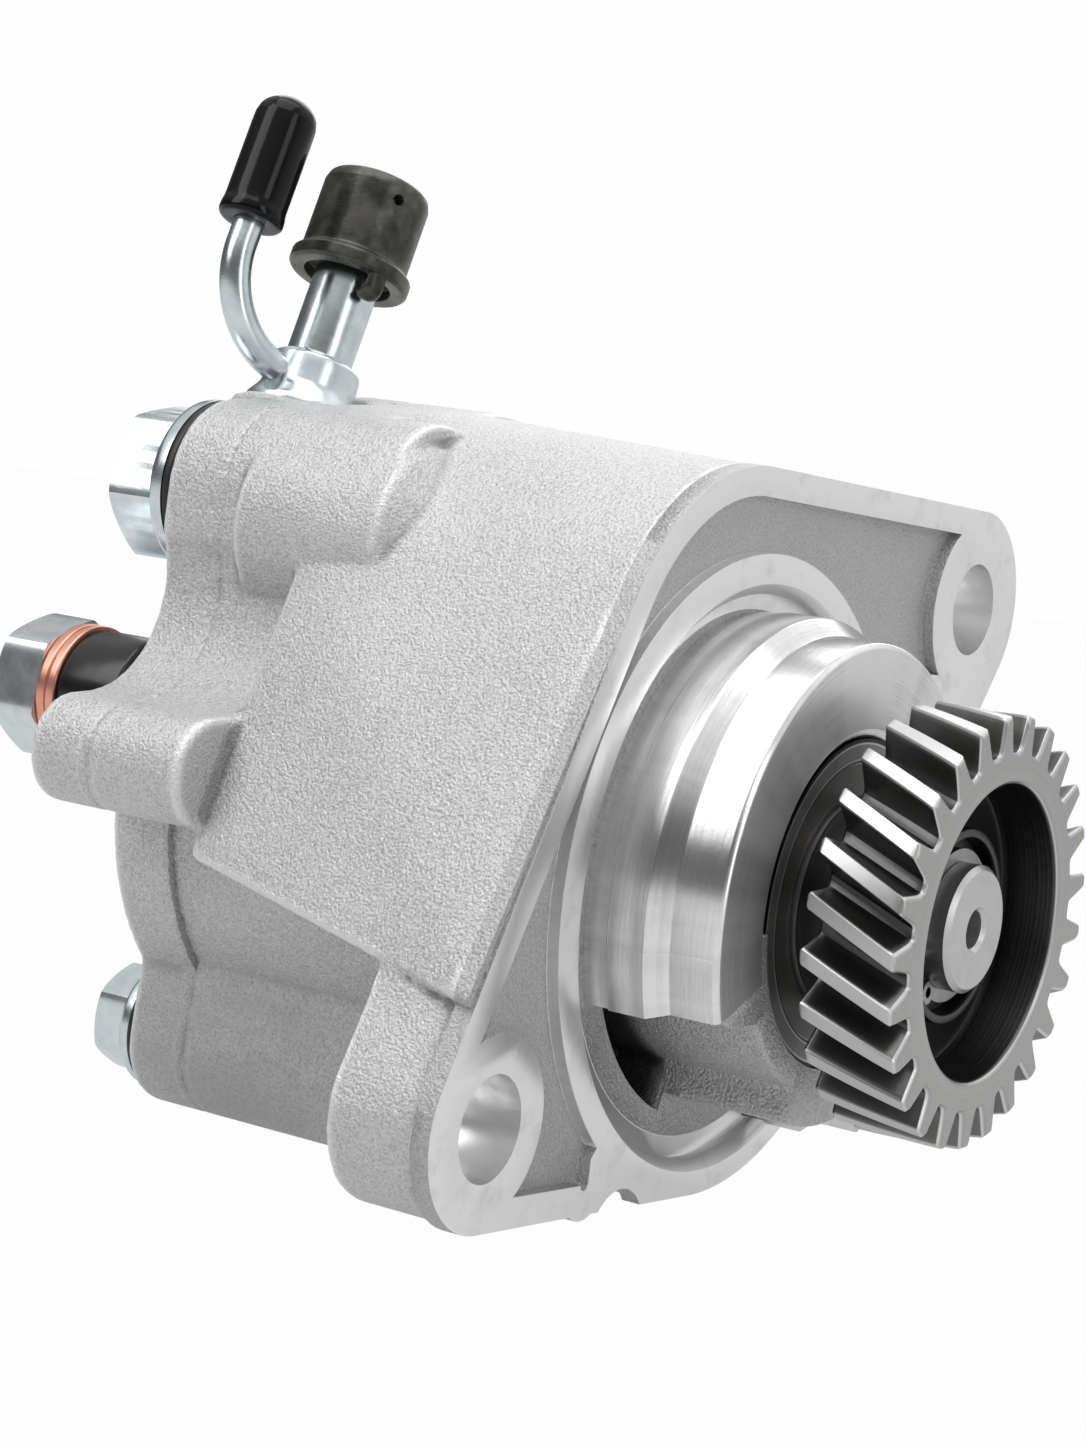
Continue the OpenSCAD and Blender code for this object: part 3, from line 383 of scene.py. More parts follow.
def bearing_finish(name, colour, lines):
    """Ground steel with painted shade in the gaps and painted highlights on the edges, as rings at
    given
    radii: (radius, half width, tone). A painted reflection fan depends on the direction from the axis.
    """
    f = Finish(name)
    away = f.radius()
    rings = f.noise(1.0, 3, 0.8, f.point(away * 6.0, f.x * 3.0, 0.0))
    fan_sheen = f.noise(5.0, 3, 0.6, f.point(f.y / away, f.z / away, 0.0))
    # Painted reflection: the pattern of directions adds fans to the colour.
    shown = f.mix((rings - 0.5) * 0.8 + (fan_sheen - 0.5) * 0.8 + 0.3, colour, scaled(colour, 0.4))
    soft = 0.05
    for at, half, tone in lines:
        line = away.ramp(at - half - soft, at - half + soft)
        line = line * away.ramp(at + half + soft, at + half - soft)
        shown = f.mix(line, shown, grey(tone))
    return f.look(Base_Color=shown, Metallic=0.7, Roughness=0.34 + (rings - 0.5) * 0.2,
                  Normal=f.bump(rings, 0.012))


# In these rings the dark tones are painted shade in the gaps and the pale ones painted highlights on
# the edges.
race_steel = bearing_finish("bearing_steel", (0.42, 0.41, 0.40), (
    (20.85, 0.35, 0.004), (20.35, 0.12, 0.75), (18.35, 0.12, 0.75), (18.1, 0.1, 0.02)))
shield_steel = bearing_finish("shield_steel", (0.26, 0.25, 0.24), (
    (17.7, 0.12, 0.5), (13.5, 0.15, 0.02), (13.2, 0.1, 0.45)))
shaft_steel = turned_finish("shaft_steel", grey(0.60), 0.34, 0.014, metal=0.85)
print("finishes:", len(bpy.data.materials))

# %% [markdown]
# Every new surface is a grid of points, worked out as whole arrays, and one function joins the grid
# into a mesh. A grid may close on itself in one direction, like a tube, or in both, like a ring.

# %% Surfaces from grids
def grid_faces(rows, columns, close_rows, close_columns):
    """Four-sided faces between neighbours of a rows x columns grid of point numbers."""
    i = np.arange(rows if close_rows else rows - 1)[:, None]
    j = np.arange(columns if close_columns else columns - 1)[None, :]
    down, right = (i + 1) % rows, (j + 1) % columns
    corners = (i * columns + j, down * columns + j, down * columns + right, i * columns + right)
    return np.stack([np.broadcast_to(c, (i.size, j.size)) for c in corners], -1).reshape(-1, 4)


def new_piece(name, points, faces, material, smooth=35.0):
    """A mesh object from points in mm. Doubled points at poles and seams are merged, faces are
    turned outwards, and edges sharper than smooth degrees stay crisp."""
    mesh = bpy.data.meshes.new(name)
    mesh.from_pydata((np.asarray(points, float).reshape(-1, 3) * MM).tolist(), [], faces)
    shape = bmesh.new()
    shape.from_mesh(mesh)
    bmesh.ops.remove_doubles(shape, verts=shape.verts, dist=2e-6)
    bmesh.ops.dissolve_degenerate(shape, edges=shape.edges, dist=1e-7)
    bmesh.ops.recalc_face_normals(shape, faces=shape.faces)
    shape.to_mesh(mesh)
    shape.free()
    mesh.shade_smooth()
    mesh.set_sharp_from_angle(angle=np.radians(smooth))
    mesh.materials.append(material)
    piece = bpy.data.objects.new(name, mesh)
    bpy.context.scene.collection.objects.link(piece)
    return piece


def rounded(corners, steps=3):
    """An outline of (a, b, round) corners, each cut back by round and bridged by a soft curve."""
    corners = np.asarray(corners, float)
    here, cut = corners[:, :2], corners[:, 2:3]
    before, after = np.roll(here, 1, 0) - here, np.roll(here, -1, 0) - here
    start = here + before / np.linalg.norm(before, axis=1)[:, None] * cut
    end = here + after / np.linalg.norm(after, axis=1)[:, None] * cut
    t = np.linspace(0, 1, steps + 1)[None, :, None]
    curve = (1 - t) ** 2 * start[:, None] + 2 * t * (1 - t) * here[:, None] + t ** 2 * end[:, None]
    return curve.reshape(-1, 2)


def revolve(outline, steps, first=0.0, last=360.0):
    """Carries an outline of (radius, height) round the height's axis, and gives points in the
    order x, y, height. Returns the points and the faces, with end walls where the turn is open."""
    whole = last - first >= 360.0
    turns = np.radians(np.linspace(first, last, steps, endpoint=not whole))[:, None]
    r, h = outline[None, :, 0], outline[None, :, 1]
    points = np.stack(np.broadcast_arrays(r * np.cos(turns), r * np.sin(turns), h), -1)
    rows, columns = points.shape[:2]
    faces = grid_faces(rows, columns, whole, True).tolist()
    if not whole:
        faces.append(list(range(columns)))
        faces.append(list(range((rows - 1) * columns, rows * columns))[::-1])
    return points.reshape(-1, 3), faces


def along_shaft(points, at=(0.0, 0.0)):
    """Lays points whose third number runs along the shaft: (a, b, h) becomes (h, y + a, z + b)."""
    return np.stack([points[:, 2], points[:, 0] + at[0], points[:, 1] + at[1]], -1)


def finish_piece(piece, body, node, *also):
    """Hangs a piece on the body that it rides on and hides the nodes that it stands for."""
    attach(piece, body)
    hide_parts(node, *also)


# %% [markdown]
# A die casting has no sharp edges where it was left as cast. The skins of the housing and the cover
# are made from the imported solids: the solid is remeshed in small cells, and each point is then moved
# towards the middle of its neighbours again and again. That rounds corners inside and outside alike,
# as a casting's fillets do. A weight holds the machined faces still.

# %% Relaxing a copy of a solid
def relax(points, edges, hold, rounds):
    """Each round moves every point towards the mean of its neighbours, by its own share."""
    a, b = edges[:, 0], edges[:, 1]
    count = np.bincount(a, minlength=len(points)) + np.bincount(b, minlength=len(points))
    for _ in range(rounds):
        mean = np.stack([
            np.bincount(a, points[b, k], len(points)) + np.bincount(b, points[a, k], len(points))
            for k in range(3)], -1) / count[:, None]
        points = points + (mean - points) * hold[:, None]
    return points


def solid_copy(name, node):
    """A new object with a node's own mesh, its loose triangles joined."""
    mesh = cad[node].data.copy()
    shape = bmesh.new()
    shape.from_mesh(mesh)
    bmesh.ops.remove_doubles(shape, verts=shape.verts, dist=1e-6)
    shape.to_mesh(mesh)
    shape.free()
    piece = bpy.data.objects.new(name, mesh)
    bpy.context.scene.collection.objects.link(piece)
    return piece


def settled(piece):
    """Replaces a piece's mesh by what its modifiers make of it."""
    bpy.context.view_layer.update()
    view = piece.evaluated_get(bpy.context.evaluated_depsgraph_get())
    piece.data = bpy.data.meshes.new_from_object(view)
    piece.modifiers.clear()
    return piece.data


# %% [markdown]
# A skin ends where the machined plate begins, so both are cut along one plane across the shaft. The
# cut is filled with triangles, and those that would close a hole or a hollow are taken out again.

# %% Cutting along a plane
def within(tree, point):
    """Whether a point lies inside a closed surface: a ray from it crosses the surface an odd
    number of times. Three rays vote, since one may graze an edge."""
    votes = 0
    for way in (Vector((1.0, 0.013, 0.029)), Vector((-0.7, 0.61, 0.37)), Vector((0.31, -0.83, 0.47))):
        way.normalize()
        crossings, hit = 0, tree.ray_cast(point, way)
        while hit[0] is not None:
            crossings += 1
            hit = tree.ray_cast(hit[0] + way * 1e-6, way)
        votes += crossings % 2
    return votes >= 2


def cut_off(piece, x, keep_front):
    """Cuts a piece along a plane across the shaft, keeps one side and closes the cut."""
    shape = bmesh.new()
    shape.from_mesh(piece.data)
    whole = BVHTree.FromBMesh(shape)
    geometry = shape.verts[:] + shape.edges[:] + shape.faces[:]
    cut = bmesh.ops.bisect_plane(shape, geom=geometry, dist=1e-7, plane_co=(x * MM, 0, 0),
                                 plane_no=(1, 0, 0), clear_inner=keep_front,
                                 clear_outer=not keep_front)["geom_cut"]
    rim = [part for part in cut if isinstance(part, bmesh.types.BMEdge)]
    filled = bmesh.ops.triangle_fill(shape, edges=rim, use_beauty=True)["geom"]
    over_holes = [face for face in filled if isinstance(face, bmesh.types.BMFace)
                  and not within(whole, face.calc_center_median())]
    bmesh.ops.delete(shape, geom=over_holes, context="FACES_ONLY")
    bmesh.ops.recalc_face_normals(shape, faces=shape.faces)
    open_edges = sum(len(edge.link_faces) != 2 for edge in shape.edges)
    shape.to_mesh(piece.data)
    shape.free()
    print(piece.name, "cut at", x, "open edges", open_edges)


# %% [markdown]
# The finish paints highlights on outer corners and shade in hollows. It needs to know where they
# are, so each point of a skin carries how strongly the surface bends there.

# %% Bends
def mesh_arrays(mesh):
    """A mesh's points in mm, its points' normals and its edges as pairs of point numbers."""
    points, normals = np.empty(len(mesh.vertices) * 3), np.empty(len(mesh.vertices) * 3)
    edges = np.empty(len(mesh.edges) * 2, int)
    mesh.vertices.foreach_get("co", points)
    mesh.vertex_normals.foreach_get("vector", normals)
    mesh.edges.foreach_get("vertices", edges)
    return points.reshape(-1, 3) / MM, normals.reshape(-1, 3), edges.reshape(-1, 2)


def mark_bends(mesh, rounds=3):
    """Writes how strongly the surface bends at each point, in 1/mm, as the attribute "bend". Along
    each edge it is the change of the normal divided by the length; it is above 0 on outer corners
    and below 0 in hollows. A few rounds of averaging make it even."""
    points, normals, edges = mesh_arrays(mesh)
    a, b = edges.T
    step, turn = points[b] - points[a], normals[b] - normals[a]
    bend = (step * turn).sum(1) / np.maximum((step * step).sum(1), 0.01)
    count = np.bincount(a, minlength=len(points)) + np.bincount(b, minlength=len(points))
    count = np.maximum(count, 1)
    value = (np.bincount(a, bend, len(points)) + np.bincount(b, bend, len(points))) / count
    for _ in range(rounds):
        near = np.bincount(a, value[b], len(points)) + np.bincount(b, value[a], len(points))
        value = 0.4 * value + 0.6 * near / count
    mesh.attributes.new("bend", "FLOAT", "POINT").data.foreach_set("value", value)
    print("bends from", value.min().round(2), "to", value.max().round(2), "per mm")


# %% [markdown]
# One function makes a skin from a node. What differs between the housing and the cover are the
# shares by which the points relax, the places that are trued afterwards, and the cut at the lip.

# %% Making a skin
def dress(mesh, material, smooth):
    """Shades a mesh smooth, but for edges sharper than smooth degrees, in one material."""
    mesh.shade_smooth()
    mesh.set_sharp_from_angle(angle=np.radians(smooth))
    mesh.materials.clear()
    mesh.materials.append(material)


def cast_skin(name, node, softness, tidy, most, material, patch=None, front=None):
    """Remeshes a node's solid in cells, relaxes it and thins it to most triangles. Points of the
    patch relax far longer than the rest. Where front is given, the skin is cut off there."""
    piece = solid_copy(name, node)
    cells = piece.modifiers.new("cells", "REMESH")
    cells.mode = "VOXEL"
    cells.voxel_size = CELL * MM
    mesh = settled(piece)
    points, _, edges = mesh_arrays(mesh)

    def placed():
        """Gives the mesh the present points and returns its normals."""
        mesh.vertices.foreach_set("co", (points * MM).ravel())
        mesh.update()
        return mesh_arrays(mesh)[1]

    points = relax(points, edges, softness(points) * RELAX_SHARE, ROUNDS)
    if patch is not None:
        inside = patch(points, placed())
        near = edges[inside[edges].any(1)]
        used, local = np.unique(near, return_inverse=True)
        local = local.reshape(-1, 2)
        points[used] = relax(points[used], local, inside[used] * RELAX_SHARE, ROUNDS * PATCH_ROUNDS)
    points = tidy(points)
    placed()
    cell_count = len(mesh.polygons)
    piece.modifiers.new("thin", "DECIMATE").ratio = min(1.0, most / (cell_count * 2))
    mesh = settled(piece)
    if front is not None:
        cut_off(piece, front, False)
    dress(mesh, material, 38)
    mark_bends(mesh)
    finish_piece(piece, "housing", node)
    print(piece.name, "cells", cell_count, "kept triangles", len(mesh.polygons))


# %% Skins of the housing and the cover
def fade(values, low, high):
    """0 below low, 1 above high and, with t the share of the way between them, t squared times
    (3 minus 2 t) between."""
    t = np.clip((values - low) / (high - low), 0, 1)
    return t * t * (3 - 2 * t)


def housing_softness(p):
    """The body relaxes fully, less and less towards the flange's lip, and not at the joint."""
    x = p[:, 0]
    return (0.08 + 0.92 * (1 - fade(x, -9.0, -3.2))) * fade(x, JOINT_X - 0.2, JOINT_X + 1.5)


def cover_softness(p):
    """The joint's edge stays crisp, and the rest relaxes."""
    return fade(-p[:, 0], -JOINT_X - 0.2, -JOINT_X + 2.0)


def panel(p, n):
    """The points of the smooth side panel, which is one sweep with no crease."""
    facing = n @ np.array([-0.12, -0.887, 0.444])
    return (facing > 0.93) & (p[:, 0] > -48.0) & (p[:, 0] < -4.0)


def true_joint(p):
    """Puts the points next to the joint's plane back into it."""
    p = p.copy()
    p[np.abs(p[:, 0] - JOINT_X) < 0.25, 0] = JOINT_X
    return p


def true_housing(p):
    """Trues the joint and the ears' holes: a point near a hole's wall moves to its radius."""
    p = true_joint(p)
    for y, z in EARS:
        away = np.hypot(p[:, 1] - y, p[:, 2] - z)
        bore = (np.abs(away - EAR_HOLE_R) < 0.35) & (p[:, 0] > EAR_BACK)
        scale = np.where(bore, EAR_HOLE_R / np.maximum(away, 1.0), 1.0)
        p[:, 1] = y + (p[:, 1] - y) * scale
        p[:, 2] = z + (p[:, 2] - z) * scale
    return p


CELL, ROUNDS = ((0.5, 7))
PATCH_ROUNDS, RELAX_SHARE = 14, 0.5
cast_skin("housing_casting", "pump_housing", housing_softness, true_housing, 190000, cast_body, panel,
          LIP_X)
cast_skin("cover_casting", "rear_cover", cover_softness, true_joint, 120000, cast_cover)

# %% [markdown]
# The flange's rim, its pads and the ring round the nose are faced in one pass of a cutter, so their
# edges are crisp. They come from the solid as it is, as a plate that is only as thick as the lip. The
# cast pocket's floor meets its walls in a soft fillet, which a bevel makes: each edge says with its
# weight how wide it is.

# %% Faced flange
flange = solid_copy("faced_flange", "pump_housing")
cut_off(flange, LIP_X - 0.02, True)
cut_off(flange, 0.01, False)
FILLET, RIM_SHARE = 0.9, 0.18
shape = bmesh.new()
shape.from_mesh(flange.data)
bmesh.ops.remove_doubles(shape, verts=shape.verts, dist=2e-5)
bmesh.ops.dissolve_limit(shape, angle_limit=np.radians(1.0), verts=shape.verts, edges=shape.edges)
width = shape.edges.layers.float.new("bevel_weight_edge")
for edge in shape.edges:
    level = (edge.verts[0].co.x + edge.verts[1].co.x) / 2 / MM
    flat = abs(edge.verts[0].co.x - edge.verts[1].co.x) < 1e-5
    sharp = edge.is_manifold and edge.calc_face_angle() > np.radians(40)
    if flat and sharp and abs(level - POCKET_X) < 0.05:
        edge[width] = 1.0
    elif flat and sharp and abs(level) < 0.005:
        edge[width] = RIM_SHARE
shape.to_mesh(flange.data)
shape.free()
edge = flange.modifiers.new("edge", "BEVEL")
edge.limit_method = "WEIGHT"
edge.width = FILLET * MM
edge.segments = 3
mesh = settled(flange)
dress(mesh, cast_body, 35)
finish_piece(flange, "housing", "pump_housing")
print("faced flange faces:", len(mesh.polygons))

# %% [markdown]
# The nose is turned on a lathe after casting, so it is the opposite of the skin: exact circles with
# crisp, lightly broken edges. Its outline is carried round the axis. Part of the ring is left out for
# the window that lets oil drain, and there the rough cast boss round the bearing shows.

# %% Turned nose with its window
WINDOW_START, WINDOW_END, RIB_START, HOLLOW_START = 204.0, 292.0, 252.0, 190.0
outside = [(34.65, -3.0, 0.02), (34.65, 1.0, 0.15), (35.0, 1.2, 0.1), (35.0, 6.4, 0.15),
           (33.0, 8.7, 0.15), (33.0, NOSE_FRONT - 0.6, 0.15), (32.4, NOSE_FRONT, 0.15),
           (22.4, NOSE_FRONT, 0.2)]
full_wall = rounded([(16.0, -3.0, 0.02), *outside, (21.02, NOSE_FRONT - 1.0, 0.15),
                     (21.02, 2.8, 0.05), (16.0, 2.8, 0.05)], 2)
skin_wall = rounded([(31.0, -3.0, 0.02), *outside, (21.5, NOSE_FRONT - 0.6, 0.1),
                     (24.0, 12.2, 0.1), (31.0, 12.2, 0.6)], 2)
for name, wall, steps, first, last in (
        ("turned_nose", full_wall, 200, WINDOW_END, 360 + HOLLOW_START),
        ("turned_nose_edge", skin_wall, 16, HOLLOW_START, WINDOW_START)):
    points, faces = revolve(wall, steps, first, last)
    piece = new_piece(name, along_shaft(points), faces, bright_turned)
    edge = piece.modifiers.new("edge", "BEVEL")
    edge.width = 0.18 * MM
    edge.segments = 2
    edge.limit_method = "ANGLE"
    edge.angle_limit = np.radians(70)
    finish_piece(piece, "housing", "pump_housing")

BOSS_R, RIB_R, FLARE, EDGE_CUT = 24.45, 28.55, 7.6, 0.5
turns = np.linspace(HOLLOW_START - 2, WINDOW_END + 2, 150)
rise = np.linspace(-3.0, NOSE_FRONT - 0.05, 40)
rib = fade(turns, RIB_START - 3.0, RIB_START + 1.0)[:, None]
near_start = (1 - fade(turns, WINDOW_START - 1.0, WINDOW_START + 13.0))[:, None]
flare = near_start * fade(rise, 10.5, 15.0)[None, :]
boss_r = BOSS_R + rib * (RIB_R - BOSS_R) + flare * FLARE * (1 - rib)
boss_r = boss_r - EDGE_CUT * fade(rise, 14.7, 15.35)[None, :]
inner = np.full_like(boss_r, 21.04)
angles = np.radians(turns)[:, None]
ring = np.concatenate([boss_r, inner[:, ::-1]], 1)
height = np.broadcast_to(np.concatenate([rise, rise[::-1]])[None, :], ring.shape)
points = np.stack([ring * np.cos(angles), ring * np.sin(angles), height], -1).reshape(-1, 3)
rows, columns = ring.shape
faces = grid_faces(rows, columns, False, True).tolist()
faces += [list(range(columns)), list(range((rows - 1) * columns, rows * columns))[::-1]]
boss = new_piece("cast_window_boss", along_shaft(points), faces, cast_cover, 60)
finish_piece(boss, "housing", "pump_housing")
print("window boss faces:", len(boss.data.polygons))

# %% [markdown]
# The drive gear is hobbed from steel. Its teeth lean along a helix, their tips have small lands, and
# both ends of each tooth are chamfered, which is what catches the light. One outline of a tooth, in
# radius and angle, is repeated round the rim, turned a little at each station along the shaft, and
# drawn in by the chamfer at both ends. The recess, hub and bore close the surface.

# %% Drive gear
TEETH, TIP_R, ROOT_R = 25, 27.0, 22.4
GEAR_X1, GEAR_X2 = 22.7, 35.3
FIRST_TOOTH, HELIX = 84.5, 23.0
# Degrees of turn for each mm along the shaft, 7 % more than the helix alone, as in the photograph
SWING = np.degrees(np.tan(np.radians(HELIX)) / TIP_R) * 1.07
pitch = 360.0 / TEETH
tooth_r = np.array([0.00, 0.02, 0.10, 0.25, 0.50, 0.80, 0.96, 1.00, 1.00])
tooth_turn = np.array([0.47, 0.385, 0.325, 0.285, 0.237, 0.185, 0.158, 0.135, 0.0])
tooth_r = np.concatenate([tooth_r, tooth_r[-2::-1]])
tooth_turn = np.concatenate([-tooth_turn, tooth_turn[-2::-1]]) * pitch
rim_r = ROOT_R + np.tile(tooth_r, TEETH) * (TIP_R - ROOT_R)
tooth_middle = np.repeat(np.arange(TEETH), len(tooth_r)) * pitch
from_middle = np.tile(tooth_turn, TEETH)


def rim_ring(x, cut, r=None, at=None):
    """One ring of the rim at station x, turned by the helix. The profile is drawn in by cut mm: each
    point moves cut inwards, and the same distance towards the middle of its tooth. With r, the ring
    is a plain circle of that radius with the same directions; at is the station that turns it."""
    closer = np.maximum(np.abs(from_middle) - np.degrees(cut / rim_r), 0.02)
    a = tooth_middle + np.sign(from_middle) * closer + FIRST_TOOTH
    a = np.radians(a + ((x if at is None else at) - GEAR_X2) * SWING)
    radius = rim_r - cut if r is None else np.full_like(rim_r, r)
    return np.stack([radius * np.cos(a), radius * np.sin(a), np.full_like(a, x)], -1)


CHAMFER = ((0.52, 0.0), (0.42, 0.03), (0.06, 0.34), (0.0, 0.41), (0.0, 0.52))
LAST_CUT = CHAMFER[-1][1]
rings = [rim_ring(x, LAST_CUT, r, GEAR_X1) for r, x in (
    (8.05, 15.2), (12.8, 14.8), (13.0, 15.0), (13.0, 22.2), (13.0, 22.7), (17.0, 22.7),
    (21.0, GEAR_X1))]
rings += [rim_ring(GEAR_X1 + back, cut) for back, cut in CHAMFER[::-1]]
rings += [rim_ring(x, 0.0) for x in np.linspace(GEAR_X1 + 1.6, GEAR_X2 - 1.6, 7)]
rings += [rim_ring(GEAR_X2 - back, cut) for back, cut in CHAMFER]
rings += [rim_ring(x, LAST_CUT, r, GEAR_X2) for r, x in (
    (21.2, GEAR_X2), (19.4, GEAR_X2), (19.0, 35.25), (18.62, 34.9), (18.5, 34.5), (18.5, 28.5),
    (18.2, 27.7), (17.4, 27.3), (13.2, 27.3), (12.5, 27.6), (12.3, 28.2), (12.3, 30.1), (12.15, 30.4),
    (11.9, 30.5), (11.4, 30.5), (11.2, 30.4), (11.1, 30.2), (11.1, 28.6), (10.9, 28.25), (10.5, 28.2),
    (8.5, 28.2), (8.2, 28.1), (8.05, 27.8))]
rings.append(rim_ring(15.4, LAST_CUT, 8.05, GEAR_X1))
rings = np.stack(rings)

gear = Finish("gear_steel")
gear_radius = gear.radius()
land = gear_radius.ramp(26.55, 26.85)
front = gear.x.ramp(35.0, 35.25)
recess = gear_radius.ramp(18.75, 18.55) * gear.x.ramp(24.0, 25.0)
hub_rim = gear_radius.ramp(12.6, 12.2) * gear.x.ramp(29.9, 30.3)
stroke = gear.noise(1.0, 3, 0.7, gear.point(gear.x * 0.5, gear.y * 7.0, gear.z * 7.0))
turned_lines = gear.noise(1.0, 3, 0.75, gear.point(gear_radius * 7.0, gear.x * 5.0, 0.0))
blotch = gear.noise(0.35, 3, 0.6)
# Painted shade at the roots between the teeth.
root = gear_radius.ramp(23.6, 22.4) * (1 - front)
flank = gear.mix(blotch * 0.5, (0.145, 0.142, 0.138), (0.25, 0.245, 0.24))
flank = gear.mix(root * 0.6, flank, grey(0.05))
# Painted highlight on the chamfers at the front end of the teeth.
chamfer = gear.x.ramp(34.78, 34.84) * (1 - front)
steel = gear.mix(land, flank, (0.54, 0.54, 0.535))
steel = gear.mix(chamfer, steel, grey(0.60))
steel = gear.mix(front * (0.80 + (turned_lines - 0.5) * 0.7), steel, (0.47, 0.465, 0.46))
# Painted shade in the gear's recess: its floor darker than its outer wall, with darker lines.
wall = gear.mix(gear_radius.ramp(17.6, 18.3), (0.05, 0.049, 0.048), (0.12, 0.118, 0.115))
wall = gear.mix(turned_lines.ramp(0.3, 0.7) * 0.85, wall, grey(0.015))
steel = gear.mix(recess * (1 - hub_rim * 0.6), steel, wall)
gear_rough = 0.34 + (stroke - 0.5) * 0.18 + front * 0.04
gear_steel = gear.look(Base_Color=steel, Metallic=1.0, Roughness=gear_rough,
                       Normal=gear.bump(stroke * (1 - front) + turned_lines * front, 0.012))
drive_gear = new_piece("helical_drive_gear", along_shaft(rings.reshape(-1, 3)),
                       grid_faces(len(rings), len(rim_r), True, True).tolist(), gear_steel, 32)
finish_piece(drive_gear, "shaft", "drive_gear")
print("gear faces:", len(drive_gear.data.polygons))

# %% [markdown]
# Plated hexagon screws close the casting at the rear. A real hexagon's corners are turned off by a
# cone, which leaves the curved chamfer lines that everyone knows. The head is a height over each
# direction and distance: flat in the middle, then falling with the cone out to the hexagon's edge.

# %% Hexagon heads
CORNER_CUT, BLEND, FACE_SHARE, CONE = 0.1575, 0.25, 0.93, 27.0


def hexagon(turns, flats):
    """Distance to a hexagon's edge in each direction: half the flats divided by the cosine of the
    angle from the nearest flat's middle. A soft minimum with a circle just inside the corners
    rounds them."""
    near = (turns + 30.0) % 60.0 - 30.0
    edge = flats / 2 / np.cos(np.radians(near))
    corner = flats / np.sqrt(3) - CORNER_CUT
    return -BLEND * np.log(np.exp(-edge / BLEND) + np.exp(-corner / BLEND))


def hex_head(name, at, x_out, x_in, flats, flange, material, phase=0.0):
    """A hexagon from its outer face at x_out to x_in, then a flange of (radius, x) corners."""
    turns = np.arange(0, 360, 3.0)
    edge = hexagon(turns + phase, flats)[:, None]
    ones = np.ones_like(edge)
    flat_r = flats / 2 * FACE_SHARE
    share = np.array([0.0, 0.5, 0.94, 1.0])[None, :] * flat_r * ones
    slope = np.array([0.12, 0.5, 0.9, 1.0])[None, :]
    reach = flat_r + (edge - flat_r) * slope
    fall = x_out + (reach - flat_r) * np.tan(np.radians(CONE)) + 0.05
    foot_r, foot_x = np.array(flange, float).T
    radius = np.concatenate([share, reach, edge, edge, ones * foot_r], 1)
    level = np.concatenate([np.full_like(share, x_out), fall, fall[:, -1:] + 0.25, ones * x_in,
                            ones * foot_x], 1)
    a = np.radians(turns)[:, None]
    points = np.stack([radius * np.cos(a), radius * np.sin(a), level], -1)
    faces = grid_faces(*radius.shape, True, False).tolist()
    return new_piece(name, along_shaft(points.reshape(-1, 3), at), faces, material, 28)


def joined(name, pieces, body, *covered):
    """Makes one object of several and lets it stand for its nodes."""
    with bpy.context.temp_override(active_object=pieces[0], selected_editable_objects=pieces):
        bpy.ops.object.join()
    pieces[0].name = name
    finish_piece(pieces[0], body, *covered)


bolt_foot = [(6.6, -76.9), (7.4, -76.85), (8.1, -76.6), (8.45, -76.1), (8.5, -75.6), (8.5, -74.9),
             (3.97, -74.9), (3.97, -52.1), (3.4, -51.5), (0.0, -51.5)]
heads = [hex_head("bolt", at, -82.5, -76.95, 13.0, bolt_foot, zinc, 12.0 * i)
         for i, at in enumerate(BOLTS)]
joined("cover_flange_bolts", heads, "housing", "cover_bolts")

plug_foot = [(9.6, -77.5), (10.6, -77.45), (11.2, -77.2), (11.6, -76.7), (11.7, -76.2), (11.7, -75.0),
             (7.97, -75.0), (7.97, -65.9), (7.6, -65.7), (6.4, -65.7), (6.4, -71.7), (0.0, -71.7)]
plug = hex_head("valve_hex_plug", PLUG_AT, -85.5, -77.55, 19.0, plug_foot, zinc, 18.0)
finish_piece(plug, "housing", "valve_plug")

union_foot = [(8.3, -86.5), (8.2, -86.46), (4.97, -86.46), (4.97, -66.6), (4.5, -66.2), (0.0, -66.2)]
union = hex_head("union_hex_bolt", UNION_AT, -94.45, -86.7, 17.0, union_foot, zinc, 9.0)
finish_piece(union, "housing", "union_bolt")
print("hexagon faces:", [len(piece.data.polygons) for piece in (heads[0], plug, union)])

# %% [markdown]
# Between metal and metal sit the sealing rings: black rubber under the plug and the bolts, and two
# soft copper washers on the union. Each is a small rounded outline carried round its own axis, so that
# its edge catches a line of light.

# %% Seal rings, washers and sleeve
def ring_piece(name, at, r_in, r_out, x1, x2, soft, material, swell=0.0):
    """A ring with rounded edges between two planes. swell lets its outer face bulge."""
    mid = (x1 + x2) / 2
    outline = rounded([(r_in, x1, soft * 0.6), (r_out, x1, soft), (r_out + swell, mid, soft),
                       (r_out, x2, soft), (r_in, x2, soft * 0.6)], 3)
    points, faces = revolve(outline, 120)
    return new_piece(name, along_shaft(points, at), faces, material, 60)


finish_piece(ring_piece("plug_seal_ring", PLUG_AT, 8.05, 11.6, -75.0, REAR_X, 0.3, seal_rubber, 0.1),
             "housing", "valve_plug_seal")
rings3 = [ring_piece("seal", at, 4.5, 8.7, -74.9, REAR_X, 0.3, seal_rubber, 0.15) for at in BOLTS]
joined("bolt_seal_rings", rings3, "housing", "cover_bolt_seals")
washers = [ring_piece("washer", UNION_AT, 5.05, 9.0, x1, x1 + 1.47, 0.3, copper)
           for x1 in (-84.92, -86.43)]
joined("copper_washers", washers, "housing", "union_washers")
sleeve = ring_piece("union_black_sleeve", UNION_AT, 5.05, 8.5, -83.42, REAR_X, 0.5, sleeve_plastic)
finish_piece(sleeve, "housing", "union_sleeve")
print("ring faces:", len(rings3[0].data.polygons), len(sleeve.data.polygons))

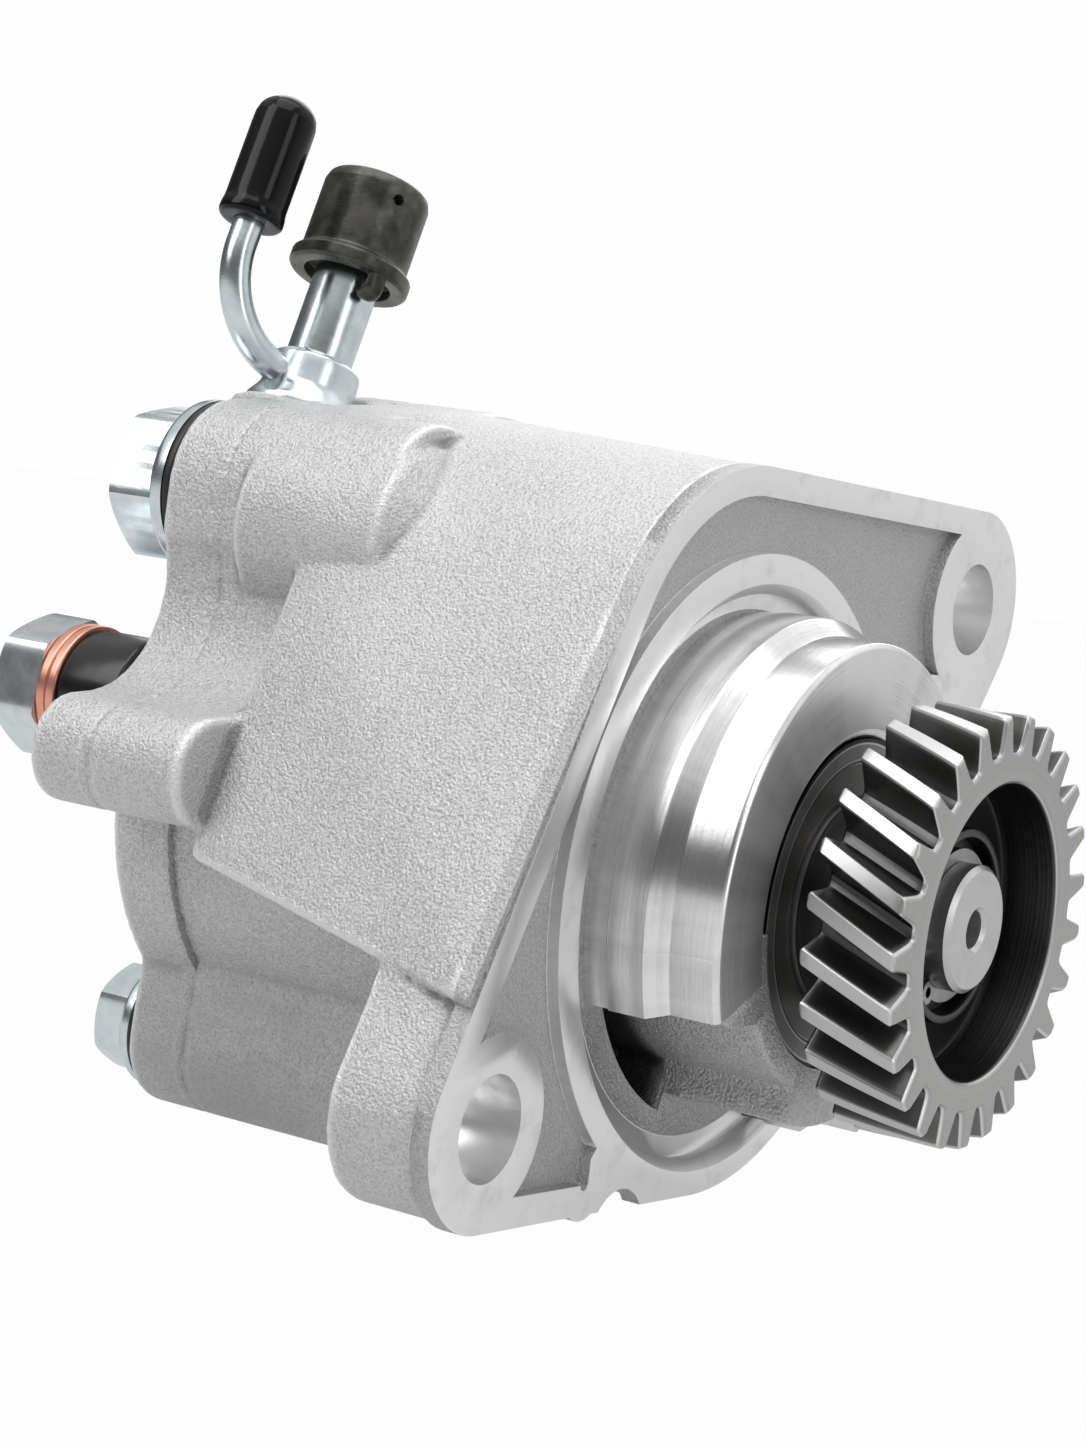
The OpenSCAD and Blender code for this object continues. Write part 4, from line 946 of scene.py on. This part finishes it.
# %% [markdown]
# The inlet stands on the cover and leans towards the upper ear. Its own frame starts at the centre of
# the fitting's top, with z along the large tube, so every piece on it is drawn upright and then
# leaned over together.

# %% Inlet fitting and tubes
LEAN, INLET_AT = 20.0, np.array([-72.7, -6.3, 58.6])
BLEED_TURN, BLEED_R, BLEED_BEND, BLEED_DROP, BLEED_FLAT = -105.0, 2.1, 12.5, 3.3, 6.0


def at_inlet(points):
    """Leans points of the inlet's frame over and moves them to their place."""
    x, y, z = points.T
    c, s = np.cos(np.radians(LEAN)), np.sin(np.radians(LEAN))
    return np.stack([x, y * c + z * s, z * c - y * s], -1) + INLET_AT


def turned(points, degrees):
    """Turns points of the inlet's frame round its upright axis."""
    x, y, z = points.T
    c, s = np.cos(np.radians(degrees)), np.sin(np.radians(degrees))
    return np.stack([x * c - y * s, x * s + y * c, z], -1)


def upright(name, corners, material, steps=96):
    """A turned piece in the inlet's frame, from (radius, height, round) corners."""
    points, faces = revolve(rounded(corners), steps)
    return new_piece(name, at_inlet(points), faces, material, 40)


fitting = upright("brazed_inlet_fitting", [
    (2.0, -10.0, 0.1), (2.97, -10.0, 0.1), (2.97, -8.0, 0.05), (8.0, -8.0, 0.2), (7.9, -7.0, 0.5),
    (6.5, -4.8, 0.8), (6.3, -1.0, 0.5), (6.2, -0.2, 0.3), (5.4, 0.35, 0.3), (4.75, 0.7, 0.15),
    (4.7, -0.4, 0.1), (2.0, -0.5, 0.1)], zinc)
finish_piece(fitting, "housing", "inlet_fitting")

tube = upright("large_inlet_tube", [
    (3.6, 0.02, 0.1), (4.6, 0.02, 0.1), (4.6, 23.9, 0.25), (3.6, 23.9, 0.25)], zinc)
finish_piece(tube, "housing", "inlet_tube")


def pipe(path, r_out, r_in, steps=40):
    """A hollow pipe: circles carried along a path in one plane, square to the path.
    The path is an array of (reach, height) in that plane."""
    way = np.gradient(path, axis=0)
    way /= np.linalg.norm(way, axis=1)[:, None]
    a = np.linspace(0, 2 * np.pi, steps, endpoint=False)[None, :]

    def skin(r):
        """Points of one wall of the pipe."""
        reach = path[:, :1] + r * np.cos(a) * -way[:, 1:]
        level = path[:, 1:] + r * np.cos(a) * way[:, :1]
        return np.stack([reach, np.broadcast_to(r * np.sin(a), reach.shape), level], -1)

    grid = np.concatenate([skin(r_out), skin(r_in)[::-1]])
    return grid.reshape(-1, 3), grid_faces(len(grid), steps, True, True).tolist()


BLEED_REACH = BLEED_FLAT + BLEED_BEND
elbow = np.radians(np.linspace(-90, 0, 40))
elbow_z = BLEED_BEND - BLEED_DROP + BLEED_BEND * np.sin(elbow)
path = np.concatenate([
    np.stack([np.linspace(2.3, BLEED_FLAT - 0.3, 5), np.full(5, -BLEED_DROP)], -1),
    np.stack([BLEED_FLAT + BLEED_BEND * np.cos(elbow), elbow_z], -1),
    np.stack([np.full(8, BLEED_REACH), np.linspace(10.5, 25.2, 8)], -1)])
points, faces = pipe(path, BLEED_R, 1.3)
bleed = new_piece("small_bent_tube", at_inlet(turned(points, BLEED_TURN)), faces, zinc, 40)
finish_piece(bleed, "housing", "bleed_tube")
print("tube faces:", len(tube.data.polygons), len(bleed.data.polygons))

# %% [markdown]
# Two push-on caps keep dirt out in transit. The large one is a satin moulding with a lip at its mouth,
# a vent near its top and a small pull hook. The small one is a dipped rubber finger with a domed end.

# %% Caps
CAP_FOOT, CAP_R, SMALL_CAP_FOOT = 12.9, 7.5, 12.2
VENT_TURN, VENT_Z, VENT_SHARE, HOOK_TURN = -28.0, 11.1, 0.22, -22.0
satin = Finish("satin_cap")
cap_lines = satin.noise(1.0, 3, 0.7, satin.point(satin.x * 0.9, satin.y * 0.9, satin.z * 5.0))
cap_cloud = satin.noise(0.22, 3, 0.6)
cap_colour = satin.mix(cap_cloud.ramp(0.3, 0.7), (0.030, 0.029, 0.026), (0.115, 0.112, 0.100))
satin_cap = satin.look(Base_Color=cap_colour, Metallic=0.6, Roughness=0.30 + (cap_lines - 0.5) * 0.3,
                       Normal=satin.bump(cap_lines, 0.02))
lower = rounded([(4.65, 1.8, 0), (6.2, 1.6, 0.2), (6.2, 0.0, 0.15), (8.1, 0.0, 0.15),
                 (8.5, 0.45, 0.15), (8.5, 2.0, 0.2), (8.0, 2.5, 0.25), (7.55, 2.7, 0.3),
                 (CAP_R, 3.4, 0.3), (CAP_R, 6.0, 0)])
upper = rounded([(CAP_R, 12.9, 0), (7.1, 14.1, 0.4), (6.3, 14.5, 0.4), (3.0, 14.5, 0)])
side = np.stack([np.full(26, CAP_R), np.linspace(9.6, 12.6, 26)], -1)
outline = np.concatenate([lower, side, upper, [(0.0, 14.5), (0.0, 11.9), (4.2, 11.9), (4.65, 11.6)]])
points, faces = revolve(outline, 260)
vent = np.radians(VENT_TURN)
away = np.linalg.norm(points - (CAP_R * np.cos(vent), CAP_R * np.sin(vent), VENT_Z), axis=1)
points[:, :2] *= 1 - VENT_SHARE * (1 - fade(away, 0.5, 0.78))[:, None]
points[:, 2] += CAP_FOOT
large = new_piece("cap", at_inlet(points), faces, satin_cap, 40)

hook_path = np.array([(7.4, 0.8), (7.4, -0.6), (7.4, -1.6), (7.25, -2.2), (6.8, -2.65), (6.2, -2.75),
                      (5.8, -2.6)])
points, faces = pipe(hook_path, 0.75, 0.1, 24)
points = turned(points * (1.0, 2.0, 1.0), HOOK_TURN) + (0.0, 0.0, CAP_FOOT)
hook = new_piece("hook", at_inlet(points), faces, satin_cap, 50)
joined("large_transit_cap", [large, hook], "large_cap", "inlet_cap")

small = upright("small_transit_cap", [
    (2.15, 0.0, 0.1), (4.1, 0.0, 0.3), (4.5, 0.5, 0.3), (4.5, 1.4, 0.3), (4.3, 2.4, 0.5),
    (4.3, 8.0, 1.0), (4.3, 14.2, 1.0), (4.25, 15.2, 0.5), (3.9, 16.5, 0.5), (3.1, 17.4, 0.5),
    (1.9, 18.1, 0.4), (0.6, 18.3, 0.2), (0.0, 18.3, 0.0), (0.0, 14.5, 0.0), (2.15, 14.5, 0.1)],
    cap_rubber, 72)
tube_end = turned(np.array([[BLEED_REACH, 0.0, SMALL_CAP_FOOT]]), BLEED_TURN)
small.data.transform(Matrix.Translation(Vector((at_inlet(tube_end)[0] - INLET_AT) * MM)))
finish_piece(small, "small_cap", "bleed_cap")
print("cap faces:", len(large.data.polygons), len(small.data.polygons))

# %% [markdown]
# The pieces inside can be seen in a cutaway or when the shaft is drawn out, so each carried-over node
# gets a finish of its own too: ground steel, brass, bronze, carbon and rubber.

# %% Finishes of the carried-over nodes
liner_iron = plain_metal("honed_iron", (0.30, 0.305, 0.32), 0.30)
ground_steel = plain_metal("ground_steel", (0.50, 0.50, 0.52), 0.24)
ball_steel = plain_metal("polished_steel", (0.72, 0.72, 0.74), 0.08)
brass = plain_metal("turned_brass", (0.72, 0.56, 0.28), 0.28)
bronze = plain_metal("bush_bronze", (0.55, 0.36, 0.20), 0.34)
carbon = plain_metal("vane_carbon", (0.045, 0.042, 0.040), 0.45, 0.1)
black_oxide = plain_metal("black_oxide", (0.035, 0.035, 0.037), 0.38)
spring_steel = plain_metal("spring_steel", (0.34, 0.335, 0.33), 0.30)
finishes = (
    (seal_rubber, "cover_seal shaft_oil_seal"), (liner_iron, "cam_liner rotor"),
    (ground_steel, "front_side_plate rear_side_plate liner_dowels valve_spring gear_key"),
    (race_steel, "bearing_outer_race bearing_inner_race"), (shield_steel, "bearing_shield"),
    (ball_steel, "bearing_balls"), (brass, "bearing_cage valve_seat valve_poppet"),
    (bronze, "rear_bush"), (black_oxide, "lobe_screw"), (shaft_steel, "drive_shaft"),
    (spring_steel, "gear_circlip"), (carbon, "vane_1 vane_2 vane_3 vane_4"))
for material, nodes in finishes:
    for node in nodes.split():
        slots = cad[node].data.materials
        if not len(slots):
            slots.append(material)
        for i in range(len(slots)):
            slots[i] = material
print("carried-over nodes:", sum(len(nodes.split()) for _, nodes in finishes))

# %% [markdown]
# The set is a pale floor under a white sky. Paleness comes from what the camera sees, through the
# Light Path node, and not from more light on the pump. Large soft lamps stand above, to the left and
# behind, and the rest of the room is a plain grey, so that turned metal has something to mirror.

# %% Floor, sky and lamps
FLOOR_SIDE, FLOOR_SEEN, FLOOR_MIRRORED = 3.0, 0.97, 0.6
ROOM_LIGHT, SKY_WHITE = 0.22, 0.992
ROOM_MIRRORED, OVERHEAD_MIRRORED, BACKDROP_MIRRORED = 0.12, 0.62, 0.66
WHITE = (1.0, 1.0, 1.0)


def ray_masks(tree):
    """Masks that are 1 for rays the camera sees, straight or through glass, and for mirrored ones."""
    paths = tree.nodes.new("ShaderNodeLightPath")
    camera_ray = Value(tree, paths.outputs["Is Camera Ray"])
    seen = camera_ray.either(paths.outputs["Is Transmission Ray"])
    return seen, Value(tree, paths.outputs["Is Glossy Ray"])


low = min(corner[2] for corner in cad_box)
corners = [(a * FLOOR_SIDE, b * FLOOR_SIDE, low) for a, b in ((-1, -1), (1, -1), (1, 1), (-1, 1))]
floor_mesh = bpy.data.meshes.new("floor")
floor_mesh.from_pydata(corners, [], [(0, 1, 2, 3)])
floor = bpy.data.objects.new("floor", floor_mesh)
bpy.context.scene.collection.objects.link(floor)
paper = Finish("floor_paper")
paper.look(Base_Color=grey(0.62), Roughness=0.8)
glow = paper.node("ShaderNodeEmission", {}, {"Color": WHITE})
seen, glossy = ray_masks(paper.tree)
share = (seen + glossy * FLOOR_MIRRORED) * FLOOR_SEEN
shown = {0: share, 1: paper.shader.outputs[0], 2: glow.outputs[0]}
blend = paper.node("ShaderNodeMixShader", {}, shown)
connect(paper.tree, paper.tree.nodes["Material Output"].inputs[0], blend.outputs[0])
floor_mesh.materials.append(paper.material)

world = bpy.data.worlds.new("studio")
bpy.context.scene.world = world
world.use_nodes = True
tree = world.node_tree
sky = tree.nodes["Background"]
seen, glossy = ray_masks(tree)
way = tree.nodes.new("ShaderNodeSeparateXYZ")
tree.links.new(tree.nodes.new("ShaderNodeTexCoord").outputs["Generated"], way.inputs[0])
way_x, way_y, way_z = (Value(tree, out) for out in way.outputs)
overhead = way_z.ramp(0.30, 0.72)
backdrop = (way_y * 0.85 + way_x * 0.52).ramp(0.35, 0.85)
mirrored = ROOM_MIRRORED + overhead * OVERHEAD_MIRRORED + backdrop * BACKDROP_MIRRORED
connect(tree, sky.inputs["Color"], WHITE)
connect(tree, sky.inputs["Strength"],
        seen * SKY_WHITE + (1 - seen) * (glossy * mirrored + (1 - glossy) * ROOM_LIGHT))


def lamp(name, at, wide, tall, power):
    """A soft area lamp that looks at the middle of the pump from a place in metres."""
    light = bpy.data.lights.new(name, "AREA")
    light.shape = "RECTANGLE"
    light.size, light.size_y = wide, tall
    light.energy = power
    body = bpy.data.objects.new(name, light)
    aim = Vector((-0.02, 0.0, 0.01)) - Vector(at)
    body.matrix_world = Matrix.Translation(at) @ aim.to_track_quat("-Z", "Y").to_matrix().to_4x4()
    bpy.context.scene.collection.objects.link(body)


lamp("key_left", (-0.55, -0.75, 0.75), 0.6, 0.8, 4.4)
lamp("top", (0.0, -0.1, 0.95), 0.9, 0.9, 5.0)
lamp("right_edge", (0.9, -0.25, 0.25), 0.3, 0.9, 1.8)
lamp("back", (-0.4, 0.8, 0.6), 0.7, 0.7, 2.2)
print("lamps:", len(bpy.data.lights), "floor at", round(low / MM, 1), "mm")
